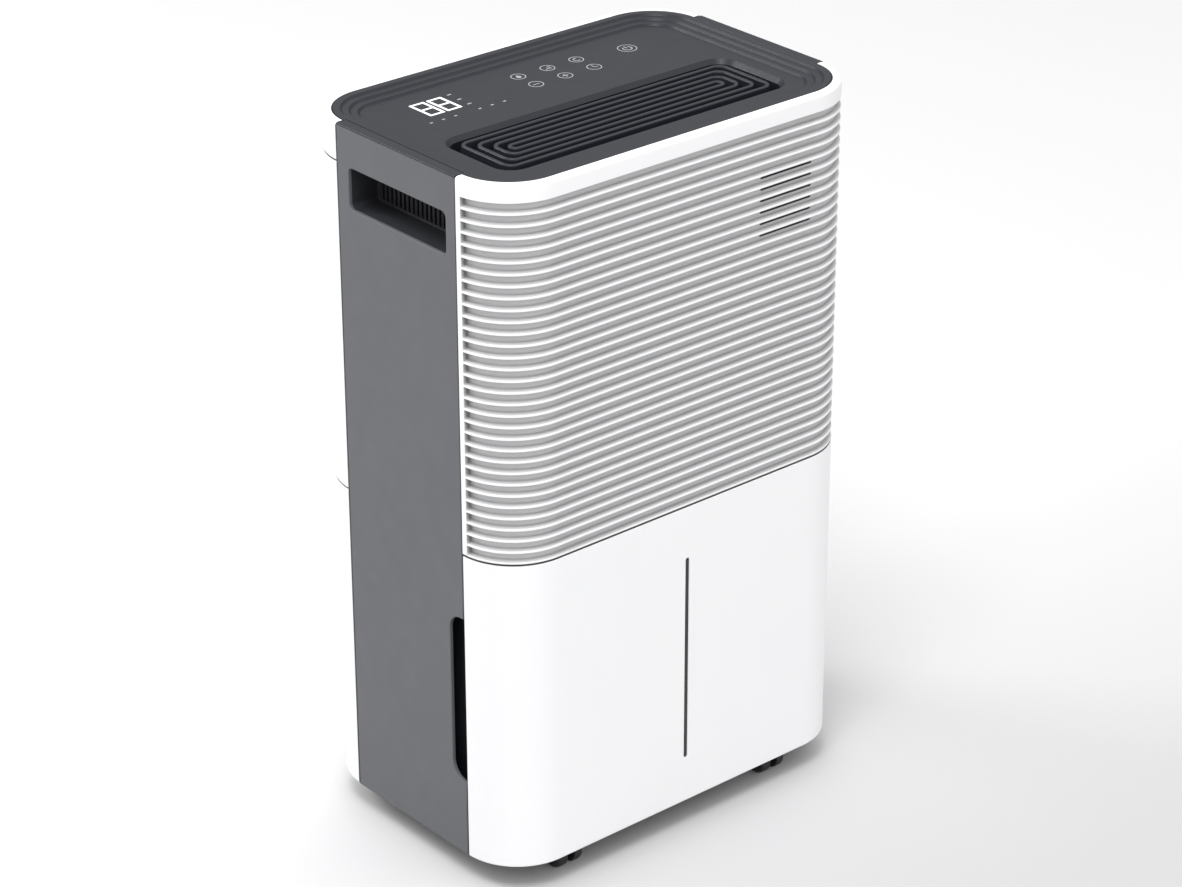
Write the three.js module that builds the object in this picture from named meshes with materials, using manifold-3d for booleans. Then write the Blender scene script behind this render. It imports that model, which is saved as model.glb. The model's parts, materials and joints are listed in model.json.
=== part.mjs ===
// Portable compressor dehumidifier on four swivel casters, modelled in millimetres with +Z up.
// The origin is on the floor under the middle of the case. The front, with the water tank, faces -Y.
import * as THREE from 'three';
import { mergeVertices } from 'three/addons/utils/BufferGeometryUtils.js';
import Module from 'manifold-3d';

const wasm = await Module();
wasm.setup();

// ---------------------------------------------------------------- driving dimensions
const CASE_HALF_WIDTH = 159.2;
const CASE_HALF_DEPTH = 106.5;
const CASE_BOTTOM = 20;
const CASE_TOP = 520;
const CASE_CORNER = 45;
const SEAM_FRONT = -62;
const SEAM_REAR = 61.5;
const SEAM_TANK = 253;
const SEAM_GRILLE_TOP = 493.4;
const SEAM_GRILLE_BOTTOM = 254.2;
const SEAM_GAP = 0.5;
const TANK_SIDE_GAP = 1.1;
const WALL = 2.5;
const FIT = 0.3;

const RIB_PITCH = 8.2;
const RIB_COUNT = 30;
const TOP_RIB = 500.8;
const RIB_HALF_CREST = 1.35;
const GROOVE_DEPTH = 3.8;
const FRONT_WALL = 5.8;
const RIM_WIDTH = 6.2;
const BORDER_STRIP = 4.7;
const SHOULDER = CASE_TOP - 8;
// slits behind some of the grooves let air reach the humidity sensor; dz is measured down from a rib
const SENSOR_SLITS = { firstRib: 3, lastRib: 8, x0: 64.6, x1: 110.4, dz0: 4.7, dz1: 2.9 };

const LID_INSET = 6.8;
const LID_SIDE = 150.7;
const LID_STEP_DEPTH = 1.65;
const LID_STEP_INSETS = [5.5, 11.2, 17];
const LID_THICKNESS = 2.5;

const OUTLET = { x: 122.2, y: 35, yMid: -34.5, corner: 14, throughInset: 1.6, collarDepth: 9 };
const LOOP = { x: 113, y: 25.75, pitch: 7.36, bar: 3, top: 514.3, bottom: 505, count: 4 };

const INTAKE = { rows: 12, pitch: 17.4, firstZ: 269.6, height: 9, x: 54, halfWidth: 48 };
const FINGER_SLOT = { x: 30, z0: 482.5, z1: 490.5, corner: 3.9 };

const HAND = { y0: -51.9, y1: 49.3, z0: 463.3, z1: 492.5, corner: 4, depth: 24 };
const HAND_SLOTS = { count: 21, pitch: 4.6, width: 2.3, margin: 2.6, lift: 1.6 };
const HAND_SKIN = 1.6;
const HAND_FLANGE = { reach: 6, thickness: 1.4 };
const GRIP = { y1: -47, z0: 77.5, z1: 204, topCorner: 11, bottomCorner: 13 };

const TANK = { x: 143, y0: -101.5, y1: 0, z0: 35, z1: 190, wall: 2.2 };
const TANK_PIVOT = { y: -50, z: 196, arm: 45 };
const FLOAT_PIVOT = { x0: 98, x1: 136, y: -12, z: 170 };

const LEVEL = { x: 1.5, z0: 56, z1: 213.5 };

const PAN = { z0: 25, z1: 28 };
const DECK = { z0: 247, z1: 249.5 };
const BULKHEAD = { y0: 4, y1: 6.5 };

const FAN = { z: 385, yFront: -68, yRear: 0, wheelRadius: 78 };
const COMPRESSOR = { x: -70, y: 56, radius: 44, z0: 42, z1: 200 };
const BUSH_RADIUS = 38;
const BUSH_ANGLES = [Math.PI / 3, Math.PI, (5 * Math.PI) / 3];
const CONDENSER = { y0: 44, y1: 66 };
const EVAPORATOR = { y0: 70, y1: 90 };

const SPOUT = { x: 60, y: -14, radius: 6.5 };
const PIPE_X = { discharge: -128, suction: 128 };
const DRAIN = { x: 92, z: 215 };
const DRAIN_HOSE_Y = 74;
const CORD_OUTLET = { x: 92, z: 62 };
const SCREW_PLACES = [[-108, 42], [108, 36], [-108, 240], [108, 240]];
const CUP = { radius: 15, wall: 1.6, floor: 94 };

const CASTER = { x: 95.5, yFront: -78, yRear: 80, trail: 8 };
const WHEEL = { radius: 10, mid: 7.15, width: 8.4 };

// ---------------------------------------------------------------- materials
const plastic = (color, roughness = 0.5) => ({ color, roughness, metalness: 0 });
const metal = (color, roughness = 0.4) => ({ color, roughness, metalness: 0.9 });
const WHITE = plastic(0xf3f4f5, 0.4);
const GREY = plastic(0x6f7074, 0.55);
const LID_GREY = plastic(0x4f5055, 0.5);
const BLACK = plastic(0x17181a, 0.6);
const TANK_GREY = plastic(0x2b2c30, 0.4);
const SMOKE = plastic(0x202124, 0.15);
const FOAM = plastic(0xe6e6e2, 0.9);
const RUBBER = plastic(0x1b1b1b, 0.9);
const BOARD = plastic(0x1f5a3a, 0.5);
const NYLON = plastic(0x35373b, 0.8);
const STEEL = metal(0x9a9da0);
const PAINTED = plastic(0x1c1d20, 0.45);
const COPPER = metal(0xb87350, 0.35);
const ALUMINIUM = metal(0xc9ccd0, 0.45);

// ---------------------------------------------------------------- solids
// Merges the vertices of a closed geometry, drops folded triangles and turns the faces outwards.
function solid(geometry) {
  const bare = geometry.clone();
  bare.deleteAttribute('normal');
  bare.deleteAttribute('uv');
  const merged = mergeVertices(bare, 1e-4);
  const points = merged.attributes.position.array;
  const index = merged.index.array;
  const triangles = [];
  let volume = 0;
  for (let i = 0; i < index.length; i += 3) {
    const [a, b, c] = [index[i], index[i + 1], index[i + 2]];
    if (a === b || b === c || c === a) continue;
    triangles.push(a, b, c);
    const [p, q, r] = [a, b, c].map((n) => new THREE.Vector3().fromArray(points, 3 * n));
    volume += p.dot(q.cross(r));
  }
  if (volume < 0) triangles.reverse();
  const triVerts = Uint32Array.from(triangles);
  const vertProperties = Float32Array.from(points);
  return new wasm.Manifold(new wasm.Mesh({ numProp: 3, vertProperties, triVerts }));
}

const join = (...parts) => parts.reduce((a, b) => a.add(b));
const cut = (body, ...tools) => tools.reduce((a, b) => a.subtract(b), body);

const AXES = {
  z: new THREE.Matrix4(),
  // shape x, y and depth run along Y, Z and X
  x: new THREE.Matrix4().makeBasis(...[[0, 1, 0], [0, 0, 1], [1, 0, 0]].map((v) => new THREE.Vector3(...v))),
  // shape x, y and depth run along X, Z and -Y
  y: new THREE.Matrix4().makeBasis(...[[1, 0, 0], [0, 0, 1], [0, -1, 0]].map((v) => new THREE.Vector3(...v))),
};

// A shape extruded between two coordinates of an axis.
function prism(shape, from, to, axis = 'z', steps = 2) {
  const start = axis === 'y' ? -to : from;
  const options = { depth: to - from, bevelEnabled: false, curveSegments: steps };
  const geometry = new THREE.ExtrudeGeometry(shape, options);
  geometry.translate(0, 0, start);
  return solid(geometry.applyMatrix4(AXES[axis]));
}

function box(x0, x1, y0, y1, z0, z1) {
  const geometry = new THREE.BoxGeometry(x1 - x0, y1 - y0, z1 - z0);
  return solid(geometry.translate((x0 + x1) / 2, (y0 + y1) / 2, (z0 + z1) / 2));
}

// A rectangle with rounded corners; radii start at the low corner and run anticlockwise.
function rounded(x0, x1, y0, y1, radii) {
  const [a, b, c, d] = Array.isArray(radii) ? radii : [radii, radii, radii, radii];
  const turn = Math.PI / 2;
  const shape = new THREE.Shape();
  shape.moveTo(x0 + a, y0);
  shape.lineTo(x1 - b, y0);
  if (b) shape.absarc(x1 - b, y0 + b, b, -turn, 0);
  shape.lineTo(x1, y1 - c);
  if (c) shape.absarc(x1 - c, y1 - c, c, 0, turn);
  shape.lineTo(x0 + d, y1);
  if (d) shape.absarc(x0 + d, y1 - d, d, turn, 2 * turn);
  shape.lineTo(x0, y0 + a);
  if (a) shape.absarc(x0 + a, y0 + a, a, 2 * turn, 3 * turn);
  return shape;
}

// A solid turned about an axis through a point, from [radius, height] pairs.
function turned(profile, at = [0, 0, 0], axis = 'z', segments = 16, start = 0) {
  const geometry = new THREE.LatheGeometry(profile.map((p) => new THREE.Vector2(...p)), segments, start);
  if (axis === 'z') geometry.rotateX(Math.PI / 2);
  if (axis === 'x') geometry.rotateZ(-Math.PI / 2);
  return solid(geometry.translate(...at));
}

const rod = (radius, from, to, at, axis = 'z', segments = 16) =>
  turned([[0, from], [radius, from], [radius, to], [0, to]], at, axis, segments);

// A round tube or wire along a smooth route through points.
function pipe(radius, points, steps = 18, sides = 8) {
  const section = new THREE.Shape();
  for (let i = 0; i < sides; i++) {
    const angle = (2 * Math.PI * i) / sides;
    const point = [radius * Math.cos(angle), radius * Math.sin(angle)];
    if (i) section.lineTo(...point);
    else section.moveTo(...point);
  }
  const route = new THREE.CatmullRomCurve3(points.map((p) => new THREE.Vector3(...p)), false, 'centripetal');
  return solid(new THREE.ExtrudeGeometry(section, { steps, extrudePath: route, bevelEnabled: false }));
}

// A section of [z, depth below the case surface] pairs swept round the front (side -1) or the rear (side 1),
// over both rounded corners. angles run from the seam to the flat face, in degrees.
function wrap(section, side, angles) {
  const corner = { x: CASE_HALF_WIDTH - CASE_CORNER, y: CASE_HALF_DEPTH - CASE_CORNER };
  const stations = [];
  for (const hand of [-1, 1]) {
    for (const angle of hand < 0 ? angles : [...angles].reverse()) {
      const a = THREE.MathUtils.degToRad(angle);
      stations.push({ hand, nx: hand * Math.cos(a), ny: side * Math.sin(a) });
    }
  }
  const positions = [];
  for (const { hand, nx, ny } of stations) {
    for (const [z, depth] of section) {
      const radius = CASE_CORNER - depth;
      positions.push(hand * corner.x + radius * nx, side * corner.y + radius * ny, z);
    }
  }
  const count = section.length;
  const index = [];
  for (let s = 0; s < stations.length - 1; s++) {
    for (let i = 0; i < count; i++) {
      const [a, b] = [s * count + i, s * count + ((i + 1) % count)];
      index.push(a, b, b + count, a, b + count, a + count);
    }
  }
  const cap = THREE.ShapeUtils.triangulateShape(section.map((p) => new THREE.Vector2(...p)), []);
  const last = (stations.length - 1) * count;
  const clockwise = THREE.ShapeUtils.isClockWise(section.map((p) => new THREE.Vector2(...p)));
  for (const [a, b, c] of cap) {
    // the end caps face away from each other, and both close the swept sides
    if (clockwise) index.push(a, b, c, last + a, last + c, last + b);
    else index.push(a, c, b, last + a, last + b, last + c);
  }
  const geometry = new THREE.BufferGeometry();
  geometry.setAttribute('position', new THREE.Float32BufferAttribute(positions, 3));
  geometry.setIndex(index);
  return solid(geometry);
}

const seamAngle = (distance) => THREE.MathUtils.radToDeg(distance / CASE_CORNER);
const FRONT_TANGENT = -(CASE_HALF_DEPTH - CASE_CORNER) - SEAM_FRONT;
const CORNER_STATIONS = [27, 48, 69, 90];
const frontAngles = (gap) => [
  seamAngle(FRONT_TANGENT + gap), seamAngle(FRONT_TANGENT + BORDER_STRIP), ...CORNER_STATIONS,
];
const FRONT_ANGLES = frontAngles(SEAM_GAP);
const REAR_ANGLES = [seamAngle(SEAM_GAP), ...CORNER_STATIONS];

// ---------------------------------------------------------------- the assembly
const assembly = new THREE.Group();
assembly.name = 'dehumidifier';

function add(name, manifold, look) {
  const raw = manifold.getMesh();
  const geometry = new THREE.BufferGeometry();
  geometry.setAttribute('position', new THREE.Float32BufferAttribute(raw.vertProperties, 3));
  geometry.setIndex(new THREE.BufferAttribute(new Uint32Array(raw.triVerts), 1));
  geometry.computeVertexNormals();
  const mesh = new THREE.Mesh(geometry, new THREE.MeshStandardMaterial({ ...look, flatShading: true }));
  mesh.name = name;
  assembly.add(mesh);
}

// ---------------------------------------------------------------- case shells
function frontShell() {
  const bottom = SEAM_TANK + SEAM_GAP;
  const section = [
    [bottom, 0], [CASE_TOP, 0], [CASE_TOP, RIM_WIDTH], [SHOULDER, RIM_WIDTH], [SHOULDER, FRONT_WALL],
    [bottom, FRONT_WALL],
  ];
  let shell = wrap(section, -1, FRONT_ANGLES);
  for (let i = -1; i < RIB_COUNT; i++) {
    const crest = TOP_RIB - RIB_PITCH * i;
    const high = crest - RIB_HALF_CREST;
    const low = crest - RIB_PITCH + RIB_HALF_CREST;
    const groove = [[low, -1], [high, -1], [high, GROOVE_DEPTH], [low, GROOVE_DEPTH]];
    shell = cut(shell, wrap(groove, -1, FRONT_ANGLES.slice(1)));
  }
  const { firstRib, lastRib, x0, x1, dz0, dz1 } = SENSOR_SLITS;
  for (let i = firstRib; i <= lastRib; i++) {
    const crest = TOP_RIB - RIB_PITCH * i;
    shell = cut(shell, box(x0, x1, -CASE_HALF_DEPTH - 1, -CASE_HALF_DEPTH + 8, crest - dz0, crest - dz1));
  }
  return shell;
}

function rearLowerShell() {
  const top = SEAM_GRILLE_BOTTOM - SEAM_GAP;
  const section = [
    [CASE_BOTTOM, 0], [top, 0], [top, WALL], [CASE_BOTTOM, WALL],
  ];
  let shell = wrap(section, 1, REAR_ANGLES);
  const inner = CASE_HALF_DEPTH - WALL;
  for (const { x, z } of [DRAIN, CORD_OUTLET]) {
    const cup = rod(CUP.radius + CUP.wall, CUP.floor, inner + 0.5, [x, 0, z], 'y', 16);
    const hollow = rod(CUP.radius, CUP.floor + 2, CASE_HALF_DEPTH + 1, [x, 0, z], 'y', 16);
    shell = cut(join(shell, cup), hollow);
  }
  shell = cut(shell, rod(7.5, 80, 100, [DRAIN.x, 0, DRAIN.z], 'y', 12));
  shell = cut(shell, rod(6.4, 80, 100, [CORD_OUTLET.x, 0, CORD_OUTLET.z], 'y', 12));
  for (const [x, z] of SCREW_PLACES) {
    const boss = rod(6.5, 96, inner + 0.5, [x, 0, z], 'y', 8);
    const bore = rod(2.3, 90, CASE_HALF_DEPTH + 1, [x, 0, z], 'y', 8);
    const sink = rod(4.4, CASE_HALF_DEPTH - 2.6, CASE_HALF_DEPTH + 1, [x, 0, z], 'y', 8);
    shell = cut(join(shell, boss), bore, sink);
  }
  return shell;
}

function rearTopBand() {
  const low = SEAM_GRILLE_TOP + SEAM_GAP;
  const section = [
    [low, 0], [CASE_TOP, 0], [CASE_TOP, RIM_WIDTH], [SHOULDER, RIM_WIDTH], [SHOULDER, WALL], [low, WALL],
  ];
  return wrap(section, 1, REAR_ANGLES);
}

function intakeGrille() {
  const [low, high] = [SEAM_GRILLE_BOTTOM + SEAM_GAP, SEAM_GRILLE_TOP - SEAM_GAP];
  let panel = wrap([[low, 0], [high, 0], [high, WALL], [low, WALL]], 1, REAR_ANGLES);
  const [front, rear] = [CASE_HALF_DEPTH - 5, CASE_HALF_DEPTH + 1];
  const { rows, pitch, firstZ, height, x, halfWidth } = INTAKE;
  for (let row = 0; row < rows; row++) {
    const z = firstZ + pitch * row;
    for (const middle of [-x, x]) {
      panel = cut(panel, box(middle - halfWidth, middle + halfWidth, front, rear, z, z + height));
    }
  }
  const slot = rounded(-FINGER_SLOT.x, FINGER_SLOT.x, FINGER_SLOT.z0, FINGER_SLOT.z1, FINGER_SLOT.corner);
  return cut(panel, prism(slot, front, rear, 'y'));
}

function filterFrame() {
  const frame = box(-112, 112, 98.4, 102.6, 264, 484);
  const windows = [];
  for (let column = 0; column < 4; column++) {
    for (let row = 0; row < 5; row++) {
      const [x, z] = [-108 + 54.5 * column, 268 + 42.8 * row];
      windows.push(box(x, x + 50.5, 90, 110, z, z + 40.8));
    }
  }
  return cut(frame, ...windows);
}

function sidePanel(side) {
  const [y0, y1] = [SEAM_FRONT + SEAM_GAP, SEAM_REAR - SEAM_GAP];
  const plate = box(CASE_HALF_WIDTH - WALL, CASE_HALF_WIDTH, y0, y1, CASE_BOTTOM, CASE_TOP);
  const flange = box(LID_SIDE + FIT, CASE_HALF_WIDTH, y0, y1, CASE_TOP - 4, CASE_TOP);
  const recess = prism(rounded(HAND.y0, HAND.y1, HAND.z0, HAND.z1, HAND.corner), 150, 170, 'x');
  const grip = rounded(y0 - 5, GRIP.y1, GRIP.z0, GRIP.z1, [0, GRIP.bottomCorner, GRIP.topCorner, 0]);
  const panel = cut(join(plate, flange), recess, prism(grip, 150, 170, 'x'));
  return side > 0 ? panel : panel.mirror([1, 0, 0]);
}

// The lining of a hand recess, with a row of upright vent slots in its inner wall.
function handlePocket(side) {
  const back = CASE_HALF_WIDTH - HAND.depth;
  const mouth = CASE_HALF_WIDTH - WALL - FIT;
  const grow = (d) => rounded(HAND.y0 - d, HAND.y1 + d, HAND.z0 - d, HAND.z1 + d, HAND.corner + d);
  const tub = prism(grow(HAND_SKIN), back - HAND_SKIN, mouth, 'x', 1);
  const flange = prism(grow(HAND_FLANGE.reach), mouth - HAND_FLANGE.thickness, mouth, 'x', 1);
  let pocket = cut(join(tub, flange), prism(grow(0), back, mouth + 1, 'x', 1));
  const { count, pitch, width, margin, lift } = HAND_SLOTS;
  for (let i = 0; i < count; i++) {
    const y = HAND.y0 + margin + pitch * i;
    const slot = box(back - HAND_SKIN - 1, back + 1, y, y + width, HAND.z0 + lift, HAND.z1 - lift);
    pocket = cut(pocket, slot);
  }
  return side > 0 ? pocket : pocket.mirror([1, 0, 0]);
}

function topLid() {
  const panTop = CASE_TOP - LID_STEP_INSETS.length * LID_STEP_DEPTH;
  const panBottom = panTop - LID_THICKNESS;
  const x = CASE_HALF_WIDTH - LID_INSET;
  const y = CASE_HALF_DEPTH - LID_INSET;
  const radius = CASE_CORNER - LID_INSET;
  let lid = prism(rounded(-x, x, -y, y, radius), panBottom, CASE_TOP);
  for (const side of [-1, 1]) {
    const [a, b] = [side * LID_SIDE, side * (x + 5)];
    lid = cut(lid, box(Math.min(a, b), Math.max(a, b), SEAM_FRONT, SEAM_REAR, panBottom - 1, CASE_TOP + 1));
  }
  LID_STEP_INSETS.forEach((inset, i) => {
    const tread = CASE_TOP - (i + 1) * LID_STEP_DEPTH;
    const outline = rounded(-x + inset, x - inset, -y + inset, y - inset, radius - inset);
    lid = cut(lid, prism(outline, tread, CASE_TOP + 1));
  });
  const [y0, y1] = [OUTLET.yMid - OUTLET.y, OUTLET.yMid + OUTLET.y];
  const inset = OUTLET.throughInset;
  const collar = prism(
    rounded(-OUTLET.x, OUTLET.x, y0, y1, OUTLET.corner), panBottom - OUTLET.collarDepth, panBottom + 1);
  const through = rounded(-OUTLET.x + inset, OUTLET.x - inset, y0 + inset, y1 - inset, OUTLET.corner - inset);
  return cut(join(lid, collar), prism(through, 480, CASE_TOP + 1));
}

// Nested loops carried by low cross ribs.
function outletGrille() {
  const loops = [];
  for (let i = 0; i < LOOP.count; i++) {
    const ring = (grow) => {
      const hx = LOOP.x - LOOP.pitch * i + grow;
      const hy = LOOP.y - LOOP.pitch * i + grow;
      const radius = Math.min(7 + grow, hy - 0.05);
      return rounded(-hx, hx, OUTLET.yMid - hy, OUTLET.yMid + hy, radius);
    };
    const half = LOOP.bar / 2;
    const outer = prism(ring(half), LOOP.bottom, LOOP.top, 'z', 1);
    loops.push(cut(outer, prism(ring(-half), LOOP.bottom - 1, LOOP.top + 1, 'z', 1)));
  }
  const reach = OUTLET.y - OUTLET.throughInset - FIT;
  for (const x of [-70, 70]) {
    loops.push(box(x - 1.2, x + 1.2, OUTLET.yMid - reach, OUTLET.yMid + reach, LOOP.bottom, LOOP.bottom + 4));
  }
  return join(...loops);
}

add('front_shell', frontShell(), WHITE);
add('rear_lower_shell', rearLowerShell(), WHITE);
add('rear_top_band', rearTopBand(), WHITE);
add('side_panel_left', sidePanel(-1), GREY);
add('side_panel_right', sidePanel(1), GREY);
add('handle_pocket_left', handlePocket(-1), BLACK);
add('handle_pocket_right', handlePocket(1), BLACK);
add('top_lid', topLid(), LID_GREY);
add('outlet_grille', outletGrille(), LID_GREY);
SCREW_PLACES.forEach(([x, z], i) => {
  const profile = [[0, 92], [1.8, 92], [1.8, 104.3], [3.8, 104.3], [3.8, 105.4], [2.4, 106.2], [0, 106.2]];
  add(`rear_screw_${i + 1}`, turned(profile, [x, 0, z], 'y', 8), STEEL);
});

// ---------------------------------------------------------------- rear intake panel with its filter
add('intake_grille', intakeGrille(), WHITE);
add('filter_frame', filterFrame(), BLACK);
add('filter_mesh', box(-110, 110, 96.9, 97.9, 266, 482), NYLON);

// ---------------------------------------------------------------- water tank
function tankBucket() {
  const { x, y0, y1, z0, z1, wall } = TANK;
  const outline = (inset) => rounded(
    -x + inset, x - inset, y0 + inset, y1 - inset, [38 - inset, 38 - inset, 12 - inset, 12 - inset]);
  let bucket = cut(prism(outline(0), z0, z1), prism(outline(wall), z0 + wall, z1 + 1));
  const ear = (side) => {
    const shape = rounded(TANK_PIVOT.y - 9, TANK_PIVOT.y + 9, z1 - 20, TANK_PIVOT.z + 8, [0, 0, 7, 7]);
    const plate = prism(shape, x - wall, x, 'x', 2);
    const bored = cut(plate, rod(4.2, x - 10, x + 10, [0, TANK_PIVOT.y, TANK_PIVOT.z], 'x', 14));
    return side > 0 ? bored : bored.mirror([1, 0, 0]);
  };
  bucket = join(bucket, ear(-1), ear(1));
  const { y, z } = FLOAT_PIVOT;
  for (const at of [FLOAT_PIVOT.x0, FLOAT_PIVOT.x1]) {
    const lug = box(at - 1.2, at + 1.2, y - 6, y1 - wall + 0.2, z - 6, z + 6);
    bucket = join(bucket, cut(lug, rod(2.5, at - 5, at + 5, [0, y, z], 'x', 12)));
  }
  return bucket;
}

function tankFrontPanel() {
  const [low, high] = [CASE_BOTTOM, SEAM_TANK - SEAM_GAP];
  const section = [[low, 0], [high, 0], [high, 10], [high - WALL, 10], [high - WALL, WALL], [low, WALL]];
  const panel = wrap(section, -1, frontAngles(TANK_SIDE_GAP));
  const slit = prism(rounded(-LEVEL.x, LEVEL.x, LEVEL.z0, LEVEL.z1, LEVEL.x - 0.05), -CASE_HALF_DEPTH - 1,
    -CASE_HALF_DEPTH + 5, 'y');
  return cut(panel, slit);
}

function levelWindow() {
  const front = -CASE_HALF_DEPTH;
  const x = LEVEL.x - FIT;
  const outline = rounded(-x, x, LEVEL.z0 + FIT, LEVEL.z1 - FIT, x - 0.05);
  const strip = prism(outline, front + 0.5, front + WALL + 0.6, 'y');
  return join(strip, box(-5, 5, front + WALL + FIT, front + WALL + 1.4, LEVEL.z0 - 6, LEVEL.z1 + 6));
}

function tankHandle() {
  const { y, z, arm } = TANK_PIVOT;
  const outer = TANK.x - TANK.wall - 2;
  const limb = (side) => {
    const shape = rounded(y - 5, y + arm + 4, z - 4, z + 4, [3.9, 3, 3, 3.9]);
    const bar = prism(shape, outer - 3.2, outer, 'x', 2);
    const stud = rod(3.7, outer - 1, TANK.x - 0.2, [0, y, z], 'x', 14);
    const whole = join(bar, stud);
    return side > 0 ? whole : whole.mirror([1, 0, 0]);
  };
  const grip = prism(rounded(y + arm - 5, y + arm + 4, z - 4, z + 4, 3), -outer + 1, outer - 1, 'x', 2);
  return join(grip, limb(-1), limb(1));
}

function float() {
  const { x0, x1, y, z } = FLOAT_PIVOT;
  const pin = rod(2.1, x0 - 2, x1 + 2, [0, y, z], 'x', 12);
  const block = box(x0 + 2.5, x1 - 2.5, y - 28, y - 3, z - 30, z - 14);
  const arms = [x0 + 3, x1 - 6].map((x) => box(x, x + 3, y - 4, y + 2.6, z - 20, z + 2.6));
  return join(pin, block, ...arms);
}

add('tank_bucket', tankBucket(), TANK_GREY);
add('tank_front_panel', tankFrontPanel(), WHITE);
add('level_window', levelWindow(), SMOKE);
add('tank_handle', tankHandle(), GREY);
add('float', float(), FOAM);

// ---------------------------------------------------------------- base, deck and bulkhead
function casterPlaces() {
  const places = [];
  for (const [row, y] of [['front', CASTER.yFront], ['rear', CASTER.yRear]]) {
    for (const [hand, side] of [['left', -1], ['right', 1]]) {
      places.push({ name: `${row}_${hand}`, x: side * CASTER.x, y });
    }
  }
  return places;
}

function basePan() {
  const inset = WALL + 1;
  const x = CASE_HALF_WIDTH - inset;
  const y = CASE_HALF_DEPTH - inset;
  let pan = prism(rounded(-x, x, -y, y, CASE_CORNER - inset), PAN.z0, PAN.z1);
  const runners = [-60, 60].map((at) => box(at - 5, at + 5, -96, -4, PAN.z1 - 1, TANK.z0 - 0.4));
  const guides = [-1, 1].map((side) => {
    const [a, b] = [side * (TANK.x + 1.5), side * (TANK.x + 3.5)];
    return box(Math.min(a, b), Math.max(a, b), -44, 0, PAN.z1 - 1, TANK.z0 + 22);
  });
  pan = join(pan, ...runners, ...guides);
  for (const place of casterPlaces()) {
    pan = join(pan, rod(7.5, PAN.z0, PAN.z1 + 4, [place.x, place.y, 0], 'z', 10));
    pan = cut(pan, rod(4.5, PAN.z0 - 1, PAN.z1 + 8, [place.x, place.y, 0], 'z', 10));
  }
  return pan;
}

function chassis() {
  const inset = FRONT_WALL + 1;
  const [x, front, rear] = [CASE_HALF_WIDTH - inset, -CASE_HALF_DEPTH + inset, CASE_HALF_DEPTH - 10.5];
  const deck = prism(rounded(-x, x, front, rear, CASE_CORNER - inset), DECK.z0, DECK.z1);
  const wall = box(-150, 150, BULKHEAD.y0, BULKHEAD.y1, PAN.z1 + FIT, DECK.z0 + 1);
  const holes = [
    [7.4, SPOUT.x, SPOUT.y], [6, PIPE_X.discharge, 55], [6, PIPE_X.suction, 80], [8, DRAIN.x, DRAIN_HOSE_Y],
  ].map(([radius, x, y]) => rod(radius, DECK.z0 - 1, DECK.z1 + 1, [x, y, 0], 'z', 12));
  return cut(join(deck, wall), ...holes);
}

function dripTray() {
  const [z0, z1] = [DECK.z1 + FIT, 264];
  let tray = cut(box(-116, 116, -26, 94, z0, z1), box(-114, 114, -24, 92, z0 + 2, z1 + 1));
  tray = join(tray, rod(SPOUT.radius, 240, z0 + 1, [SPOUT.x, SPOUT.y, 0], 'z', 12));
  tray = join(tray, rod(6, z0 - 3, z0 + 1, [DRAIN.x, DRAIN_HOSE_Y, 0], 'z', 12));
  tray = cut(tray, rod(4, 230, z1, [DRAIN.x, DRAIN_HOSE_Y, 0], 'z', 12));
  return cut(tray, rod(5, 230, z1, [SPOUT.x, SPOUT.y, 0], 'z', 12));
}

add('base_pan', basePan(), BLACK);
add('chassis', chassis(), WHITE);
add('drip_tray', dripTray(), WHITE);
add('level_switch', join(
  box(104, 130, BULKHEAD.y1 + FIT, BULKHEAD.y1 + 10, 160, 182),
  rod(3, BULKHEAD.y1 + 9, BULKHEAD.y1 + 14, [117, 0, 171], 'y', 10)), BLACK);

// ---------------------------------------------------------------- refrigeration circuit
// A finned block: an outline with teeth on both faces, and a bend of tube at each end for every pass.
function coil({ y0, y1 }) {
  const [half, z0, z1, teeth] = [106, 270, 472, 11];
  const pitch = (2 * half) / teeth;
  const slot = { depth: 7, width: pitch * 0.6 };
  const outline = new THREE.Shape();
  outline.moveTo(-half, y0);
  for (let i = 0; i < teeth; i++) {
    const x = -half + pitch * (i + 0.2);
    outline.lineTo(x, y0);
    outline.lineTo(x, y0 + slot.depth);
    outline.lineTo(x + slot.width, y0 + slot.depth);
    outline.lineTo(x + slot.width, y0);
  }
  outline.lineTo(half, y0);
  outline.lineTo(half, y1);
  for (let i = teeth - 1; i >= 0; i--) {
    const x = -half + pitch * (i + 0.2);
    outline.lineTo(x + slot.width, y1);
    outline.lineTo(x + slot.width, y1 - slot.depth);
    outline.lineTo(x, y1 - slot.depth);
    outline.lineTo(x, y1);
  }
  outline.lineTo(-half, y1);
  let block = prism(outline, z0, z1);
  const bend = 12;
  for (const side of [-1, 1]) {
    for (let z = z0 + 15; z < z1 - 24; z += 60) {
      const x = side * (half - 2);
      const y = (y0 + y1) / 2;
      const reach = [[0, 0], [8, 0], [13, bend], [8, 2 * bend], [0, 2 * bend]];
      const route = reach.map(([out, up]) => [x + side * out, y, z + up]);
      block = join(block, pipe(3.5, route, 4, 5));
    }
  }
  return block;
}

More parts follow.
